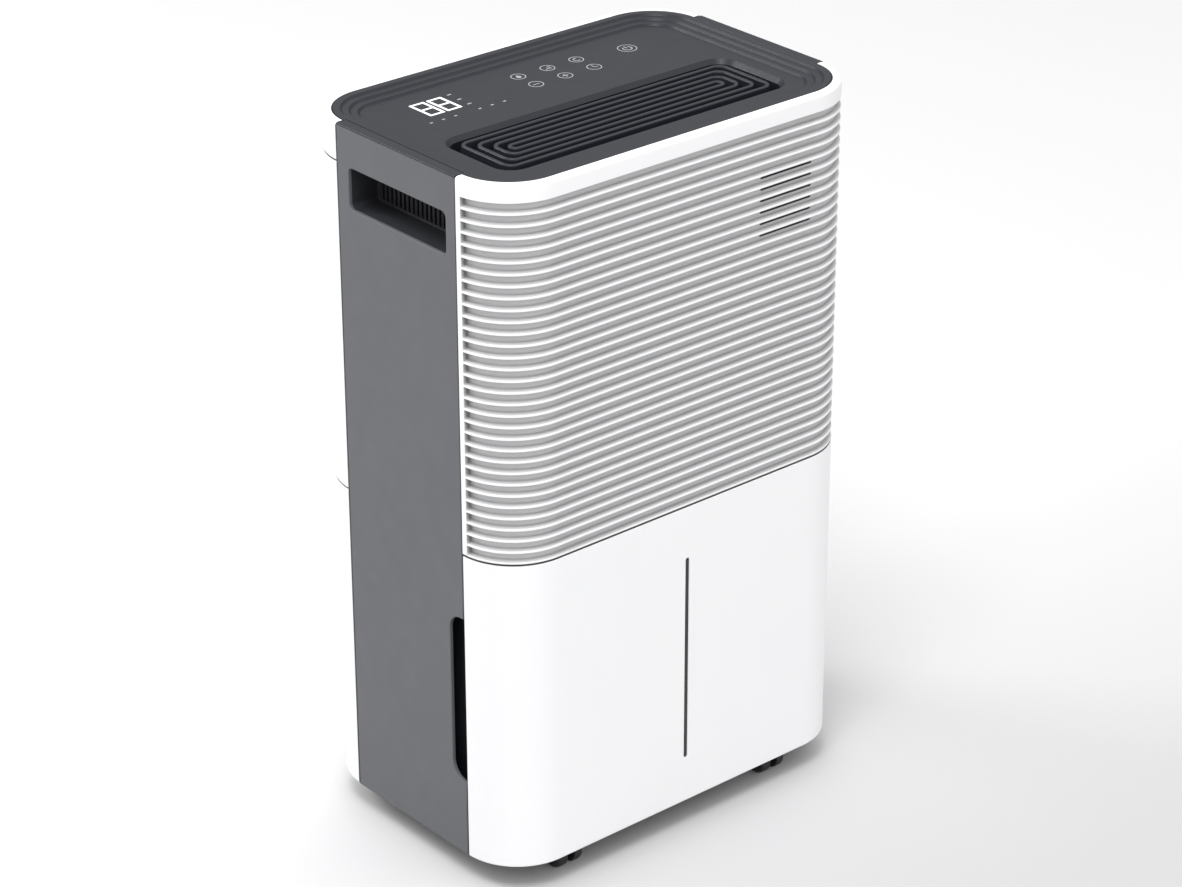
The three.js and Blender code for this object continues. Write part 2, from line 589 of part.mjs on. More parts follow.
function compressor() {
  const { x, y, radius, z0, z1 } = COMPRESSOR;
  const profile = [
    [0, z0], [radius - 12, z0], [radius - 3, z0 + 6], [radius, z0 + 14],
    [radius, z1 - 20], [radius - 6, z1 - 9], [radius - 20, z1 - 2], [0, z1],
  ];
  const shell = turned(profile, [x, y, 0], 'z', 20);
  const foot = new THREE.Shape();
  for (let i = 0; i < 3; i++) {
    const angle = BUSH_ANGLES[i];
    const spread = 0.32;
    for (const turn of [-spread, spread]) {
      const px = x + BUSH_RADIUS * 1.22 * Math.cos(angle + turn);
      const py = y + BUSH_RADIUS * 1.22 * Math.sin(angle + turn);
      if (i === 0 && turn < 0) foot.moveTo(px, py);
      else foot.lineTo(px, py);
    }
  }
  return join(shell, prism(foot, z0 - 4, z0 + 2), rod(9, z1 - 4, z1 + 8, [x + 14, y, 0], 'z', 12));
}

function accumulator() {
  const profile = [[0, 72], [8, 72], [17, 82], [17, 170], [8, 180], [0, 180]];
  const vessel = turned(profile, [6, 62, 0], 'z', 16);
  const inlet = [[6, 62, 76], [6, 62, 62], [-2, 61, 55], [-14, 60, 54], [-24.8, 59, 54]];
  return join(vessel, pipe(4, inlet, 10, 8));
}

add('evaporator', coil(EVAPORATOR), ALUMINIUM);
add('condenser', coil(CONDENSER), ALUMINIUM);
add('compressor', compressor(), PAINTED);
BUSH_ANGLES.forEach((angle, i) => {
  const at = [COMPRESSOR.x + BUSH_RADIUS * Math.cos(angle), COMPRESSOR.y + BUSH_RADIUS * Math.sin(angle), 0];
  const [low, high] = [PAN.z1 + FIT, COMPRESSOR.z0 - 4 - FIT];
  const profile = [[0, low], [8, low], [8, low + 3], [6, low + 4.5], [8, low + 6], [8, high], [0, high]];
  add(`compressor_bush_${i + 1}`, turned(profile, at, 'z', 12), RUBBER);
});
add('accumulator', accumulator(), PAINTED);
add('discharge_pipe', pipe(3.5, [
  [-84, 56, 201], [-84, 56, 218], [-94, 56, 227], [-118, 55, 229], [-128, 55, 238], [-128, 55, 310],
  [-124, 55, 323], [-115, 55, 326], [-106.6, 55, 326],
], 22, 6), COPPER);
add('suction_pipe', pipe(3.5, [
  [6, 62, 181], [6, 62, 204], [12, 58, 216], [26, 50, 222], [106, 50, 224], [124, 58, 228], [128, 74, 234],
  [128, 80, 244], [128, 80, 310], [124, 80, 323], [115, 80, 326], [106.6, 80, 326],
], 28, 6), COPPER);
add('capillary_tube', pipe(1.4, [
  [-106.6, 55, 452], [-118, 55, 452], [-126, 58, 458], [-126, 68, 460], [-126, 77, 458], [-118, 80, 452],
  [-106.6, 80, 452],
], 12, 5), COPPER);

// ---------------------------------------------------------------- fan
// The scroll's outline: a growing spiral whose mouth widens to pass under the whole outlet grille.
function scrollOutline(inset, top) {
  const shape = new THREE.Shape();
  const [tongue, growth, turnEnd, steps] = [84, 26, 270, 26];
  for (let i = 0; i <= steps; i++) {
    const share = i / steps;
    const angle = THREE.MathUtils.degToRad(turnEnd * share);
    const radius = tongue + growth * share - inset;
    const point = [-radius * Math.sin(angle), FAN.z + radius * Math.cos(angle)];
    if (i) shape.lineTo(...point);
    else shape.moveTo(...point);
  }
  shape.lineTo(tongue + growth - inset, top);
  shape.lineTo(inset - tongue - growth, top);
  shape.lineTo(inset - tongue - growth, top - 10);
  return shape;
}

function fanScroll() {
  const top = 502;
  const shell = prism(scrollOutline(0, top), FAN.yFront, FAN.yRear, 'y');
  const hollow = prism(scrollOutline(2, top + 5), FAN.yFront + 2, FAN.yRear - 2, 'y');
  const inlet = rod(62, FAN.yRear - 5, FAN.yRear + 5, [0, 0, FAN.z], 'y', 24);
  const shaftHole = rod(9, FAN.yFront - 5, FAN.yFront + 5, [0, 0, FAN.z], 'y', 16);
  return cut(shell, hollow, inlet, shaftHole);
}

function fanImpeller() {
  const radius = FAN.wheelRadius;
  const [front, rear] = [FAN.yFront + 8, FAN.yRear - 8];
  const at = [0, 0, FAN.z];
  let wheel = rod(radius, front, front + 2.4, at, 'y', 24);
  wheel = join(wheel, rod(11, front, front + 18, at, 'y', 12));
  const ring = rod(radius, rear - 3, rear, at, 'y', 24);
  wheel = join(wheel, cut(ring, rod(radius - 13, rear - 6, rear + 3, at, 'y', 24)));
  const blades = 18;
  for (let i = 0; i < blades; i++) {
    const blade = new THREE.BoxGeometry(12, rear - front - 2, 1.8);
    blade.rotateY(-0.5);
    blade.translate(radius - 7.5, (front + rear) / 2, 0);
    blade.rotateY((2 * Math.PI * i) / blades);
    wheel = join(wheel, solid(blade.translate(...at)));
  }
  return cut(wheel, rod(4.3, front - 5, front + 25, at, 'y', 14));
}

function fanMotor() {
  const face = FAN.yFront - 2.2;
  const profile = [
    [0, face - 27], [30, face - 27], [36, face - 23], [36, face - 5], [30, face - 1.5], [10, face - 1.5],
    [10, face], [0, face],
  ];
  const can = turned(profile, [0, 0, FAN.z], 'y', 20);
  const arms = [-1, 1].map((side) => {
    const [a, b] = [side * 30, side * 62];
    return box(Math.min(a, b), Math.max(a, b), face - 9, face - 6, FAN.z - 8, FAN.z + 8);
  });
  const posts = [-1, 1].map((side) => rod(4, face - 7, face + 1.8, [side * 56, 0, FAN.z], 'y', 10));
  return join(can, ...arms, ...posts);
}

add('fan_scroll', fanScroll(), BLACK);
add('fan_impeller', fanImpeller(), BLACK);
add('fan_shaft', rod(4, FAN.yFront - 1.8, FAN.yFront + 27, [0, 0, FAN.z], 'y', 14), STEEL);
add('fan_motor', fanMotor(), STEEL);

// ---------------------------------------------------------------- electrics
const panUnderside = CASE_TOP - LID_STEP_INSETS.length * LID_STEP_DEPTH - LID_THICKNESS;
add('control_board', box(-116, 100, 16, 74, panUnderside - 11.6, panUnderside - 10), BOARD);
add('display_module', box(-108, -68, 30, 66, panUnderside - 9.7, panUnderside - 0.5), BLACK);
add('humidity_sensor', join(
  box(64, 104, -99.6, -98, 430, 478),
  box(78, 90, -98.5, -94, 446, 462)), BOARD);
add('capacitor', turned([[0, 30], [15, 30], [17, 32], [17, 96], [15, 98], [6, 98], [6, 102], [0, 102]],
  [58, 56, 0], 'z', 16), ALUMINIUM);

// ---------------------------------------------------------------- drain and cord outlet
function ringedTube({ x, z }, bore, sections) {
  const profile = [[bore, sections[0][1]], ...sections, [bore, sections.at(-1)[1]]];
  return turned([...profile, profile[0]], [x, 0, z], 'y', 12);
}

add('drain_spout', ringedTube(DRAIN, 4.6, [[8.8, 86], [8.8, 93.6], [7, 93.6], [7, 103]]), WHITE);
add('drain_cap', turned([[7.4, 97.5], [9.4, 97.5], [9.4, 105], [8.4, 106], [0, 106], [0, 103.6], [7.4, 103.6],
  [7.4, 97.5]], [DRAIN.x, 0, DRAIN.z], 'y', 12), RUBBER);
add('drain_hose', pipe(4, [
  [DRAIN.x, 85.5, DRAIN.z], [DRAIN.x, 80, DRAIN.z + 1], [DRAIN.x, DRAIN_HOSE_Y + 1, DRAIN.z + 8],
  [DRAIN.x, DRAIN_HOSE_Y, DRAIN.z + 18], [DRAIN.x, DRAIN_HOSE_Y, 246.3],
], 14), RUBBER);
add('power_gland', ringedTube(CORD_OUTLET, 3.8, [
  [5.9, 86], [5.9, 96.3], [8.4, 96.3], [8.4, 98.4], [7, 104], [5.4, 104],
]), BLACK);

// ---------------------------------------------------------------- casters
function casterHousing({ x, y }) {
  const wheelY = y - CASTER.trail;
  const web = WHEEL.mid - WHEEL.width / 2 - 0.4;
  const top = PAN.z0 - 0.4;
  const fin = new THREE.Shape();
  fin.moveTo(y + 8, top);
  fin.lineTo(wheelY - 8, top);
  fin.lineTo(wheelY - 6, WHEEL.radius);
  fin.absarc(wheelY, WHEEL.radius, 5, Math.PI, 2 * Math.PI);
  fin.lineTo(y + 8, top - 5);
  const plate = prism(fin, x - web, x + web, 'x', 3);
  const hood = prism(rounded(x - 11, x + 11, wheelY - 9, y + 8, 6), top - 3.2, top, 'z', 1);
  const stem = rod(4, top - 1, PAN.z1 + 5.5, [x, y, 0], 'z', 10);
  const bore = rod(2.6, x - 10, x + 10, [0, wheelY, WHEEL.radius], 'x', 8);
  return cut(join(plate, hood, stem), bore);
}

// Two wheels on one axle, with a flat facet of the tread on the floor.
function casterWheels({ x, y }) {
  const segments = 16;
  const radius = WHEEL.radius / Math.cos(Math.PI / segments);
  const half = WHEEL.width / 2;
  const wheel = (side) => {
    const profile = [[0, -half], [radius, -half], [radius, half - 2.6], [radius - 3.4, half], [0, half]];
    const facing = profile.map(([r, h]) => [r, side * h]);
    const centre = [x + side * WHEEL.mid, y - CASTER.trail, WHEEL.radius];
    return turned(facing, centre, 'x', segments, Math.PI / segments);
  };
  const axle = rod(2.1, x - WHEEL.mid, x + WHEEL.mid, [0, y - CASTER.trail, WHEEL.radius], 'x', 8);
  return join(wheel(-1), axle, wheel(1));
}

for (const place of casterPlaces()) {
  add(`caster_housing_${place.name}`, casterHousing(place), BLACK);
  add(`caster_wheels_${place.name}`, casterWheels(place), BLACK);
}

export default assembly;
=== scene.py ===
import json
import math

import bmesh
import bpy
from mathutils import Matrix, Vector
from mathutils.geometry import tessellate_polygon


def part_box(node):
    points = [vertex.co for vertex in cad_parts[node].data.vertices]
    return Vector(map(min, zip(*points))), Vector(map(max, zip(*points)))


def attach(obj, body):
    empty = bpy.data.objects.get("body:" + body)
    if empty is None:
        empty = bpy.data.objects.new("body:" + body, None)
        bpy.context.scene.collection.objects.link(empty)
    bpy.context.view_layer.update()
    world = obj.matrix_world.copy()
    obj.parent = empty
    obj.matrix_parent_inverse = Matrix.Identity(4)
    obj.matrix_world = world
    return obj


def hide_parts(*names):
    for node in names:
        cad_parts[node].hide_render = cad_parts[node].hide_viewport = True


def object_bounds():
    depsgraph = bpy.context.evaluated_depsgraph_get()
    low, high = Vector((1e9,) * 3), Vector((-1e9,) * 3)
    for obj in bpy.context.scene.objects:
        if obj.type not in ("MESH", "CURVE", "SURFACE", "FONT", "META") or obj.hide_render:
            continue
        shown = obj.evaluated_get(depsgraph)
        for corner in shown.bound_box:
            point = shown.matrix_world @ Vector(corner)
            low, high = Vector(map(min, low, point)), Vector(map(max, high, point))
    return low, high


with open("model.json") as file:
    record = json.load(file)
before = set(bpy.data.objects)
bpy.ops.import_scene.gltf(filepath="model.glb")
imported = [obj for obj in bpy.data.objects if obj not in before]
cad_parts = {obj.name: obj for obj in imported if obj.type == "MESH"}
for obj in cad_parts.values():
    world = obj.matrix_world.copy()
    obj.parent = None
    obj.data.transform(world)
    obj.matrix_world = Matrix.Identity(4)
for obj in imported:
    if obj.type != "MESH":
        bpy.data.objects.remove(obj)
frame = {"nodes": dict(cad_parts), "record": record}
cad_low, cad_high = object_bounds()

# Shapes are worked out in millimetres in the frame's own axes, and piece() turns them into metres.
MM = 0.001


def span(node):
    """The lowest and highest corner of a CAD node, in millimetres."""
    low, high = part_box(node)
    return low / MM, high / MM


# ---- places that come from the frame
FRONT_LOW, FRONT_HIGH = span("front_shell")
FACE_LOW, FACE_HIGH = span("tank_front_panel")
SIDE_LOW, SIDE_HIGH = span("side_panel_right")
HALF_WIDTH, HALF_DEPTH, TOP = SIDE_HIGH.x, -FRONT_LOW.y, FRONT_HIGH.z
LID_LOW, LID_HIGH = span("top_lid")
REAR_LOW, REAR_HIGH = (corner.z for corner in span("rear_lower_shell"))
BAND_LOW = span("rear_top_band")[0].z
INTAKE_LOW, INTAKE_HIGH = (corner.z for corner in span("intake_grille"))
POCKET_HIGH = span("handle_pocket_right")[1]
CASTERS = ("front_left", "front_right", "rear_left", "rear_right")

# ---- sizes of the visible shapes
CORNER = 45.0
WALL = 2.5
FRONT_WALL = 5.8
SHOULDER = TOP - 8
RIM = 6.2
SEAM_EDGE = 0.35
SEAM_GAP = 0.5

RIB_PITCH = 8.2
RIB_COUNT = 30
TOP_RIB = 500.8
RIB_HALF = 1.35
GROOVE = 3.8
STRIP = 4.7
CREST_ROUND, CREST_UNDER, GROOVE_ROUND = 1.1, 0.5, 1.5
CREST_DROP, LEDGE_RISE = 1.15, 0.7
SLIT = {"ribs": range(3, 9), "x": (64.6, 110.4), "down": (4.7, 2.9)}
LEVEL = {"x": 1.5, "z": (56, 213.5), "gap": 0.3, "flange": (5, 6)}

HAND = {"y": (-51.9, 49.3), "z": (463.3, 492.5), "corner": 4, "depth": 24}
HAND_SLOTS = {"count": 21, "pitch": 4.6, "width": 2.3, "margin": 2.6, "lift": 1.6}
POCKET = {"skin": 1.6, "lip": 6, "lip_thickness": 1.4, "bend": 1}
GRIP = {"y": -47, "z": (77.5, 204), "corners": (13, 11)}

# the dark flange on top of a side: the height that shows, its depth and how far it stands back
CAP, CAP_DEPTH, CAP_BACK = 1, 4, 0.15
STEP_DEPTH = 1.65
STEP_INSETS = (4.9, 10.5, 16.4)
STEP_SLOPE = 1.6
STEP_ROUNDS = (0.55, 0.4)
PAN = TOP - STEP_DEPTH * len(STEP_INSETS)
LID_THICKNESS = 2.5
OUTLET = {"x": 120.6, "y": 33.4, "middle": -34.5, "corner": 12.4, "flare": 3.15, "collar": 1.6}
LOOP = {"x": 113, "y": 25.75, "pitch": 7.36, "bar": 3, "top": 514.3, "bottom": 505, "count": 4, "spread": 1.1}
CROSS_RIB = {"x": 70, "half": 1.2, "height": 4}

INTAKE = {"rows": 12, "pitch": 17.4, "first": 269.6, "height": 9, "x": 54, "half": 48}
LOUVRE = {"blade": 1.8, "upright": 2.4, "columns": 3, "corner": 1.6}
FINGER_SLOT = {"x": 30, "z": (482.5, 490.5), "corner": 3.9}
DRAIN = (92, 215)
CORD_OUTLET = (92, 62)
SCREWS = ((-108, 42), (108, 36), (-108, 240), (108, 240))
CUP = {"radius": 15, "wall": 1.6, "floor": 94, "floor_thickness": 2}
DRAIN_BORE, CORD_BORE = 7.5, 6.4
SCREW_BOSS = {"bore": 2.3, "radius": 6.5, "floor": 96, "sink": 4.4}
TANK_PIVOT = (-50, 196)
FLOAT_PIVOT = (-12, 170)

# ---- strengths of the light
HORIZON, OVERHEAD = 0.38, 1.4
KEY_POWER, LEFT_POWER, FRONT_POWER, RIM_POWER = 33, 7, 15, 25


# ---- outlines
def soften(corners, radii, steps=3, closed=True):
    """An outline with its corners rounded by arcs; a radius of 0 leaves a corner sharp."""
    if not isinstance(radii, (list, tuple)):
        radii = [radii] * len(corners)
    outline = []
    for i, (corner, radius) in enumerate(zip(corners, radii)):
        here = Vector(corner)
        if not radius or (not closed and i in (0, len(corners) - 1)):
            outline.append(tuple(here))
            continue
        into = (Vector(corners[i - 1]) - here).normalized()
        out = (Vector(corners[(i + 1) % len(corners)]) - here).normalized()
        half = into.angle(out) / 2
        centre = here + (into + out).normalized() * radius / math.sin(half)
        reach = radius / math.tan(half)
        arms = [here + way * reach - centre for way in (into, out)]
        start = math.atan2(arms[0].y, arms[0].x)
        turn = math.remainder(math.atan2(arms[1].y, arms[1].x) - start, 2 * math.pi)
        for k in range(steps + 1):
            angle = start + turn * k / steps
            outline.append((centre.x + radius * math.cos(angle), centre.y + radius * math.sin(angle)))
    return outline


def rounded(x0, x1, y0, y1, radius, steps=4):
    """A rectangle with round corners, anticlockwise."""
    return soften([(x0, y0), (x1, y0), (x1, y1), (x0, y1)], radius, steps)


def circle(x, y, radius, steps=32):
    turns = [2 * math.pi * k / steps for k in range(steps)]
    return [(x + radius * math.cos(t), y + radius * math.sin(t)) for t in turns]


def quarter_round(radius, steps):
    """Pairs of distances from a corner's two sides, along a quarter of a circle that rounds it."""
    turns = [math.radians(90 * k / steps) for k in range(steps + 1)]
    return [(radius * (1 - math.sin(t)), radius * (1 - math.cos(t))) for t in turns]


def anticlockwise(loop):
    area = sum(a[0] * b[1] - b[0] * a[1] for a, b in zip(loop, loop[1:] + loop[:1]))
    return loop if area > 0 else loop[::-1]


def offset(loop, inset):
    """An anticlockwise outline moved inwards, with mitred corners."""
    moved = []
    for i, point in enumerate(loop):
        here = Vector(point)
        into = here - Vector(loop[i - 1])
        out = Vector(loop[(i + 1) % len(loop)]) - here
        if into.length < 1e-6 or out.length < 1e-6:
            moved.append(tuple(here))
            continue
        normals = [Vector((-way.y, way.x)).normalized() for way in (into, out)]
        mitre = (normals[0] + normals[1]).normalized()
        moved.append(tuple(here + mitre * inset / max(0.4, mitre.dot(normals[0]))))
    return moved


# ---- solids
class Shape:
    """The points and faces of one piece, in millimetres."""

    def __init__(self):
        self.points = []
        self.faces = []

    def ring(self, points):
        first = len(self.points)
        self.points.extend(Vector(p) for p in points)
        return list(range(first, len(self.points)))

    def loft(self, loops, closed=False):
        """A skin over outlines of the same length, and back to the first if closed; returns their rings."""
        rings = [self.ring(loop) for loop in loops]
        for a, b in zip(rings, rings[1:] + rings[:1] if closed else rings[1:]):
            for i in range(len(a)):
                j = (i + 1) % len(a)
                self.faces.append((a[i], a[j], b[j], b[i]))
        return rings

    def cap(self, outline, holes=()):
        """Fills a flat outline, given as point numbers, and leaves its holes open."""
        loops = []
        for loop in (outline, *holes):
            steps = [(self.points[n] - self.points[loop[k - 1]]).length for k, n in enumerate(loop)]
            loops.append([n for n, step in zip(loop, steps) if step > 1e-5])
        numbers = [n for loop in loops for n in loop]
        for triangle in tessellate_polygon([[self.points[n] for n in loop] for loop in loops]):
            self.faces.append(tuple(numbers[k] for k in triangle))

    def sealed(self, loops):
        """A skin over outlines, with its two ends filled."""
        rings = self.loft(loops)
        self.cap(rings[0])
        self.cap(rings[-1])
        return self

    def join(self, *others):
        for other in others:
            first = len(self.points)
            self.points.extend(other.points)
            self.faces.extend(tuple(n + first for n in face) for face in other.faces)
        return self

    def mirrored(self):
        """The same shape on the other side of the middle plane."""
        twin = Shape()
        twin.points = [Vector((-p.x, p.y, p.z)) for p in self.points]
        twin.faces = [face[::-1] for face in self.faces]
        return twin


# how an outline's own two coordinates and its level lie in the frame
ALONG = {
    "x": lambda u, v, w: (w, u, v),
    "y": lambda u, v, w: (u, w, v),
    "z": lambda u, v, w: (u, v, w),
}


def plate(loops, low, high, axis="z", edge=0.4, both=False, steps=3):
    """An outline with holes between two levels of an axis, with edges rounded at high, or at both ends."""
    place = ALONG[axis]
    outlines = [anticlockwise(loop) for loop in loops]
    away = 1 if high > low else -1
    bend = quarter_round(edge, steps)
    levels = [(inset, low + away * rise) for rise, inset in reversed(bend)] if both else [(0, low)]
    levels += [(inset, high - away * rise) for rise, inset in bend]
    shape = Shape()
    ends = []
    for number, outline in enumerate(outlines):
        sign = 1 if number == 0 else -1
        rings = shape.loft([place(u, v, w) for u, v in offset(outline, sign * inset)] for inset, w in levels)
        ends.append((rings[0], rings[-1]))
    for side in (0, 1):
        shape.cap(ends[0][side], [hole[side] for hole in ends[1:]])
    return shape


def beam(x, y, z, edge=0.5, corner=0.6):
    """A block between two corners with rounded edges."""
    return plate([rounded(*x, *y, corner, 3)], *z, "z", edge, both=True)


def turned(profile, centre, axis="z", steps=48, closed=False):
    """A solid turned about an axis through centre, from (radius, level) pairs."""
    place = ALONG[axis]
    shape = Shape()
    loops = []
    for radius, level in profile:
        points = [place(u, v, level) for u, v in circle(0, 0, radius, steps)]
        loops.append([Vector(p) + Vector(centre) for p in points])
    shape.loft(loops, closed)
    return shape


def tube(points, radius, sides=12):
    """A round bar along straight or gently bent points."""
    route = [Vector(p) for p in points]
    turns = [2 * math.pi * k / sides for k in range(sides)]
    loops, across = [], None
    for i, here in enumerate(route):
        way = (route[min(i + 1, len(route) - 1)] - route[max(i - 1, 0)]).normalized()
        across = way.orthogonal() if across is None else across - way * across.dot(way)
        across.normalize()
        up = way.cross(across)
        loops.append([here + (across * math.cos(t) + up * math.sin(t)) * radius for t in turns])
    return Shape().sealed(loops)


# ---- the rounded case walls
def seam_angle(distance):
    return math.degrees(distance / CORNER)


def corner_stations(first, fades=()):
    """(angle from the seam, groove share, rounding of the seam's edge) round one corner of the case."""
    fine = [(first, 0, SEAM_EDGE), (first + 0.12, 0, 0.1), (first + 0.45, 0, 0)]
    if fades:
        start = seam_angle(fades[0])
        fine += [(start, 0, 0), (start + 0.2, 0.12, 0), (start + 0.45, 0.8, 0), (start + 0.75, 1, 0)]
    else:
        fine.append((first + 3, 1, 0))
    rest = fine[-1][0]
    count = 22
    return fine + [(rest + (90 - rest) * k / count, 1, 0) for k in range(1, count + 1)]


def wrapped(side, section, stations, windows=(), lip=0.35, grooves=None):
    """A closed section of (z, depth) swept round the front (side -1) or the rear (side 1) of the case.

    windows are (outline in x and z, outer depth, inner depth): openings through the flat face.
    grooves is the (z, z, depth) range whose points are less deep where a station's share says so."""
    shape = Shape()
    middle = Vector((HALF_WIDTH - CORNER, HALF_DEPTH - CORNER))
    rings = []
    for hand in (-1, 1):
        for angle, share, edge in stations if hand < 0 else reversed(stations):
            a = math.radians(angle)
            ring = []
            for z, depth in section:
                if grooves and grooves[0] < z < grooves[1] and depth <= grooves[2]:
                    depth = depth * share
                radius = CORNER - max(depth, edge)
                x = hand * (middle.x + radius * math.cos(a))
                ring.append((x, side * (middle.y + radius * math.sin(a)), z))
            rings.append(shape.ring(ring))
    shape.cap(rings[0])
    shape.cap(rings[-1])
    flat = len(rings) // 2 - 1
    opened = {}
    for outline, outer, inner in windows:
        levels = [(-lip, outer), (0, outer + lip), (0, inner)]
        loop = anticlockwise(outline)
        tunnel = shape.loft(
            [(x, side * (HALF_DEPTH - d), z) for x, z in offset(loop, inset)] for inset, d in levels)
        height = (min(z for _, z in loop) + max(z for _, z in loop)) / 2
        for ring, depth in ((tunnel[0], outer), (tunnel[-1], inner)):
            opened.setdefault(cell_at(section, height, depth), []).append(ring)
    count = len(section)
    for number, (a, b) in enumerate(zip(rings, rings[1:])):
        for i in range(count):
            j = (i + 1) % count
            if number == flat and i in opened:
                shape.cap([a[i], a[j], b[j], b[i]], opened[i])
            else:
                shape.faces.append((a[i], a[j], b[j], b[i]))
    return shape


def cell_at(section, z, depth):
    """The stretch of a section that passes height z at this depth."""
    for i, (a, b) in enumerate(zip(section, section[1:] + section[:1])):
        level = abs(a[1] - depth) < 1e-3 and abs(b[1] - depth) < 1e-3
        if level and min(a[0], b[0]) < z < max(a[0], b[0]):
            return i
    raise ValueError(f"the section has no flat wall at height {z}, depth {depth}")


# ---- materials
# painted shade: how far an ambient occlusion node looks, and the range of its result that turns the white
# plastic's colour from the shade grey to white
PAINTED_SHADE_REACH = 10
PAINTED_SHADE_SHARES = (0.35, 0.95)
# the mix node's sockets for colours; its other sockets have the same names
COLOUR_INPUTS, COLOUR_OUTPUT = (6, 7), 2


def linear(*srgb):
    """A colour given as sRGB bytes, as the shader's linear numbers."""
    return tuple((c / 255 / 12.92 if c <= 10 else ((c / 255 + 0.055) / 1.055) ** 2.4) for c in srgb) + (1,)


class Finish:
    """A procedural material: a base, small changes of tone and roughness, and relief from noise."""

    def __init__(self, name, colour, roughness, metallic=0.0, tone=0.03):
        self.material = bpy.data.materials.new(name)
        self.material.use_nodes = True
        self.tree = self.material.node_tree
        self.shader = self.tree.nodes["Principled BSDF"]
        self.shader.inputs["Metallic"].default_value = metallic
        self.place = self.node("ShaderNodeTexCoord").outputs["Object"]
        broad = self.noise(14, 3)
        darker = tuple(c * (1 - tone) for c in colour[:3]) + (1,)
        lighter = tuple(min(1, c * (1 + tone)) for c in colour[:3]) + (1,)
        self.colour = self.mix(broad, darker, lighter)
        self.link(self.colour, "Base Color")
        self.link(self.spread(self.noise(60, 4), roughness - 0.04, roughness + 0.04), "Roughness")
        self.normal = None

    def feed(self, socket, value):
        """Links another node's output to a socket, or sets the socket to a plain value."""
        if isinstance(value, bpy.types.NodeSocket):
            self.tree.links.new(value, socket)
        else:
            socket.default_value = value

    def node(self, kind, **inputs):
        made = self.tree.nodes.new(kind)
        for name, value in inputs.items():
            self.feed(made.inputs[name.replace("_", " ")], value)
        return made

    def link(self, source, target):
        self.tree.links.new(source, self.shader.inputs[target])

    def set(self, **values):
        for name, value in values.items():
            self.shader.inputs[name.replace("_", " ")].default_value = value
        return self

    def noise(self, scale, detail=2.0, roughness=0.5):
        inputs = {"Scale": scale, "Detail": detail, "Roughness": roughness}
        return self.node("ShaderNodeTexNoise", Vector=self.place, **inputs).outputs["Fac"]

    def spread(self, factor, low, high, start=0.3, end=0.7):
        """Turns the range start to end of a factor into the range low to high."""
        ends = {"From_Min": start, "From_Max": end, "To_Min": low, "To_Max": high}
        return self.node("ShaderNodeMapRange", Value=factor, **ends).outputs["Result"]

    def mix(self, factor, first, second):
        """A colour between first and second."""
        made = self.node("ShaderNodeMix")
        made.data_type = "RGBA"
        self.tree.links.new(factor, made.inputs["Factor"])
        for number, value in zip(COLOUR_INPUTS, (first, second)):
            self.feed(made.inputs[number], value)
        return made.outputs[COLOUR_OUTPUT]

    def relief(self, height, depth, strength=1.0):
        """Adds bumps of a given depth, in millimetres, to the surface."""
        made = self.node("ShaderNodeBump", Height=height, Distance=depth * MM, Strength=strength)
        if self.normal:
            self.tree.links.new(self.normal, made.inputs["Normal"])
        self.normal = made.outputs["Normal"]
        self.link(self.normal, "Normal")
        return self


def moulded(name, colour, roughness, grain, depth, tone=0.03, painted_shade=None):
    """Injection-moulded plastic with an eroded grain, and painted shade: a darker colour in its narrow
    hollows, taken from ambient occlusion.
    """
    finish = Finish(name, colour, roughness, tone=tone)
    if painted_shade:
        # painted shade: the base colour is darkened where ambient occlusion finds nearby surfaces
        reach = finish.node("ShaderNodeAmbientOcclusion", Distance=PAINTED_SHADE_REACH * MM)
        reach.samples = 8
        open_share = finish.spread(reach.outputs["AO"], 0, 1, *PAINTED_SHADE_SHARES)
        finish.colour = finish.mix(open_share, painted_shade, finish.colour)
        finish.link(finish.colour, "Base Color")
    finish.relief(finish.noise(grain, 3, 0.6), depth)
    finish.relief(finish.noise(45, 2), 0.05, 0.6)
    return finish


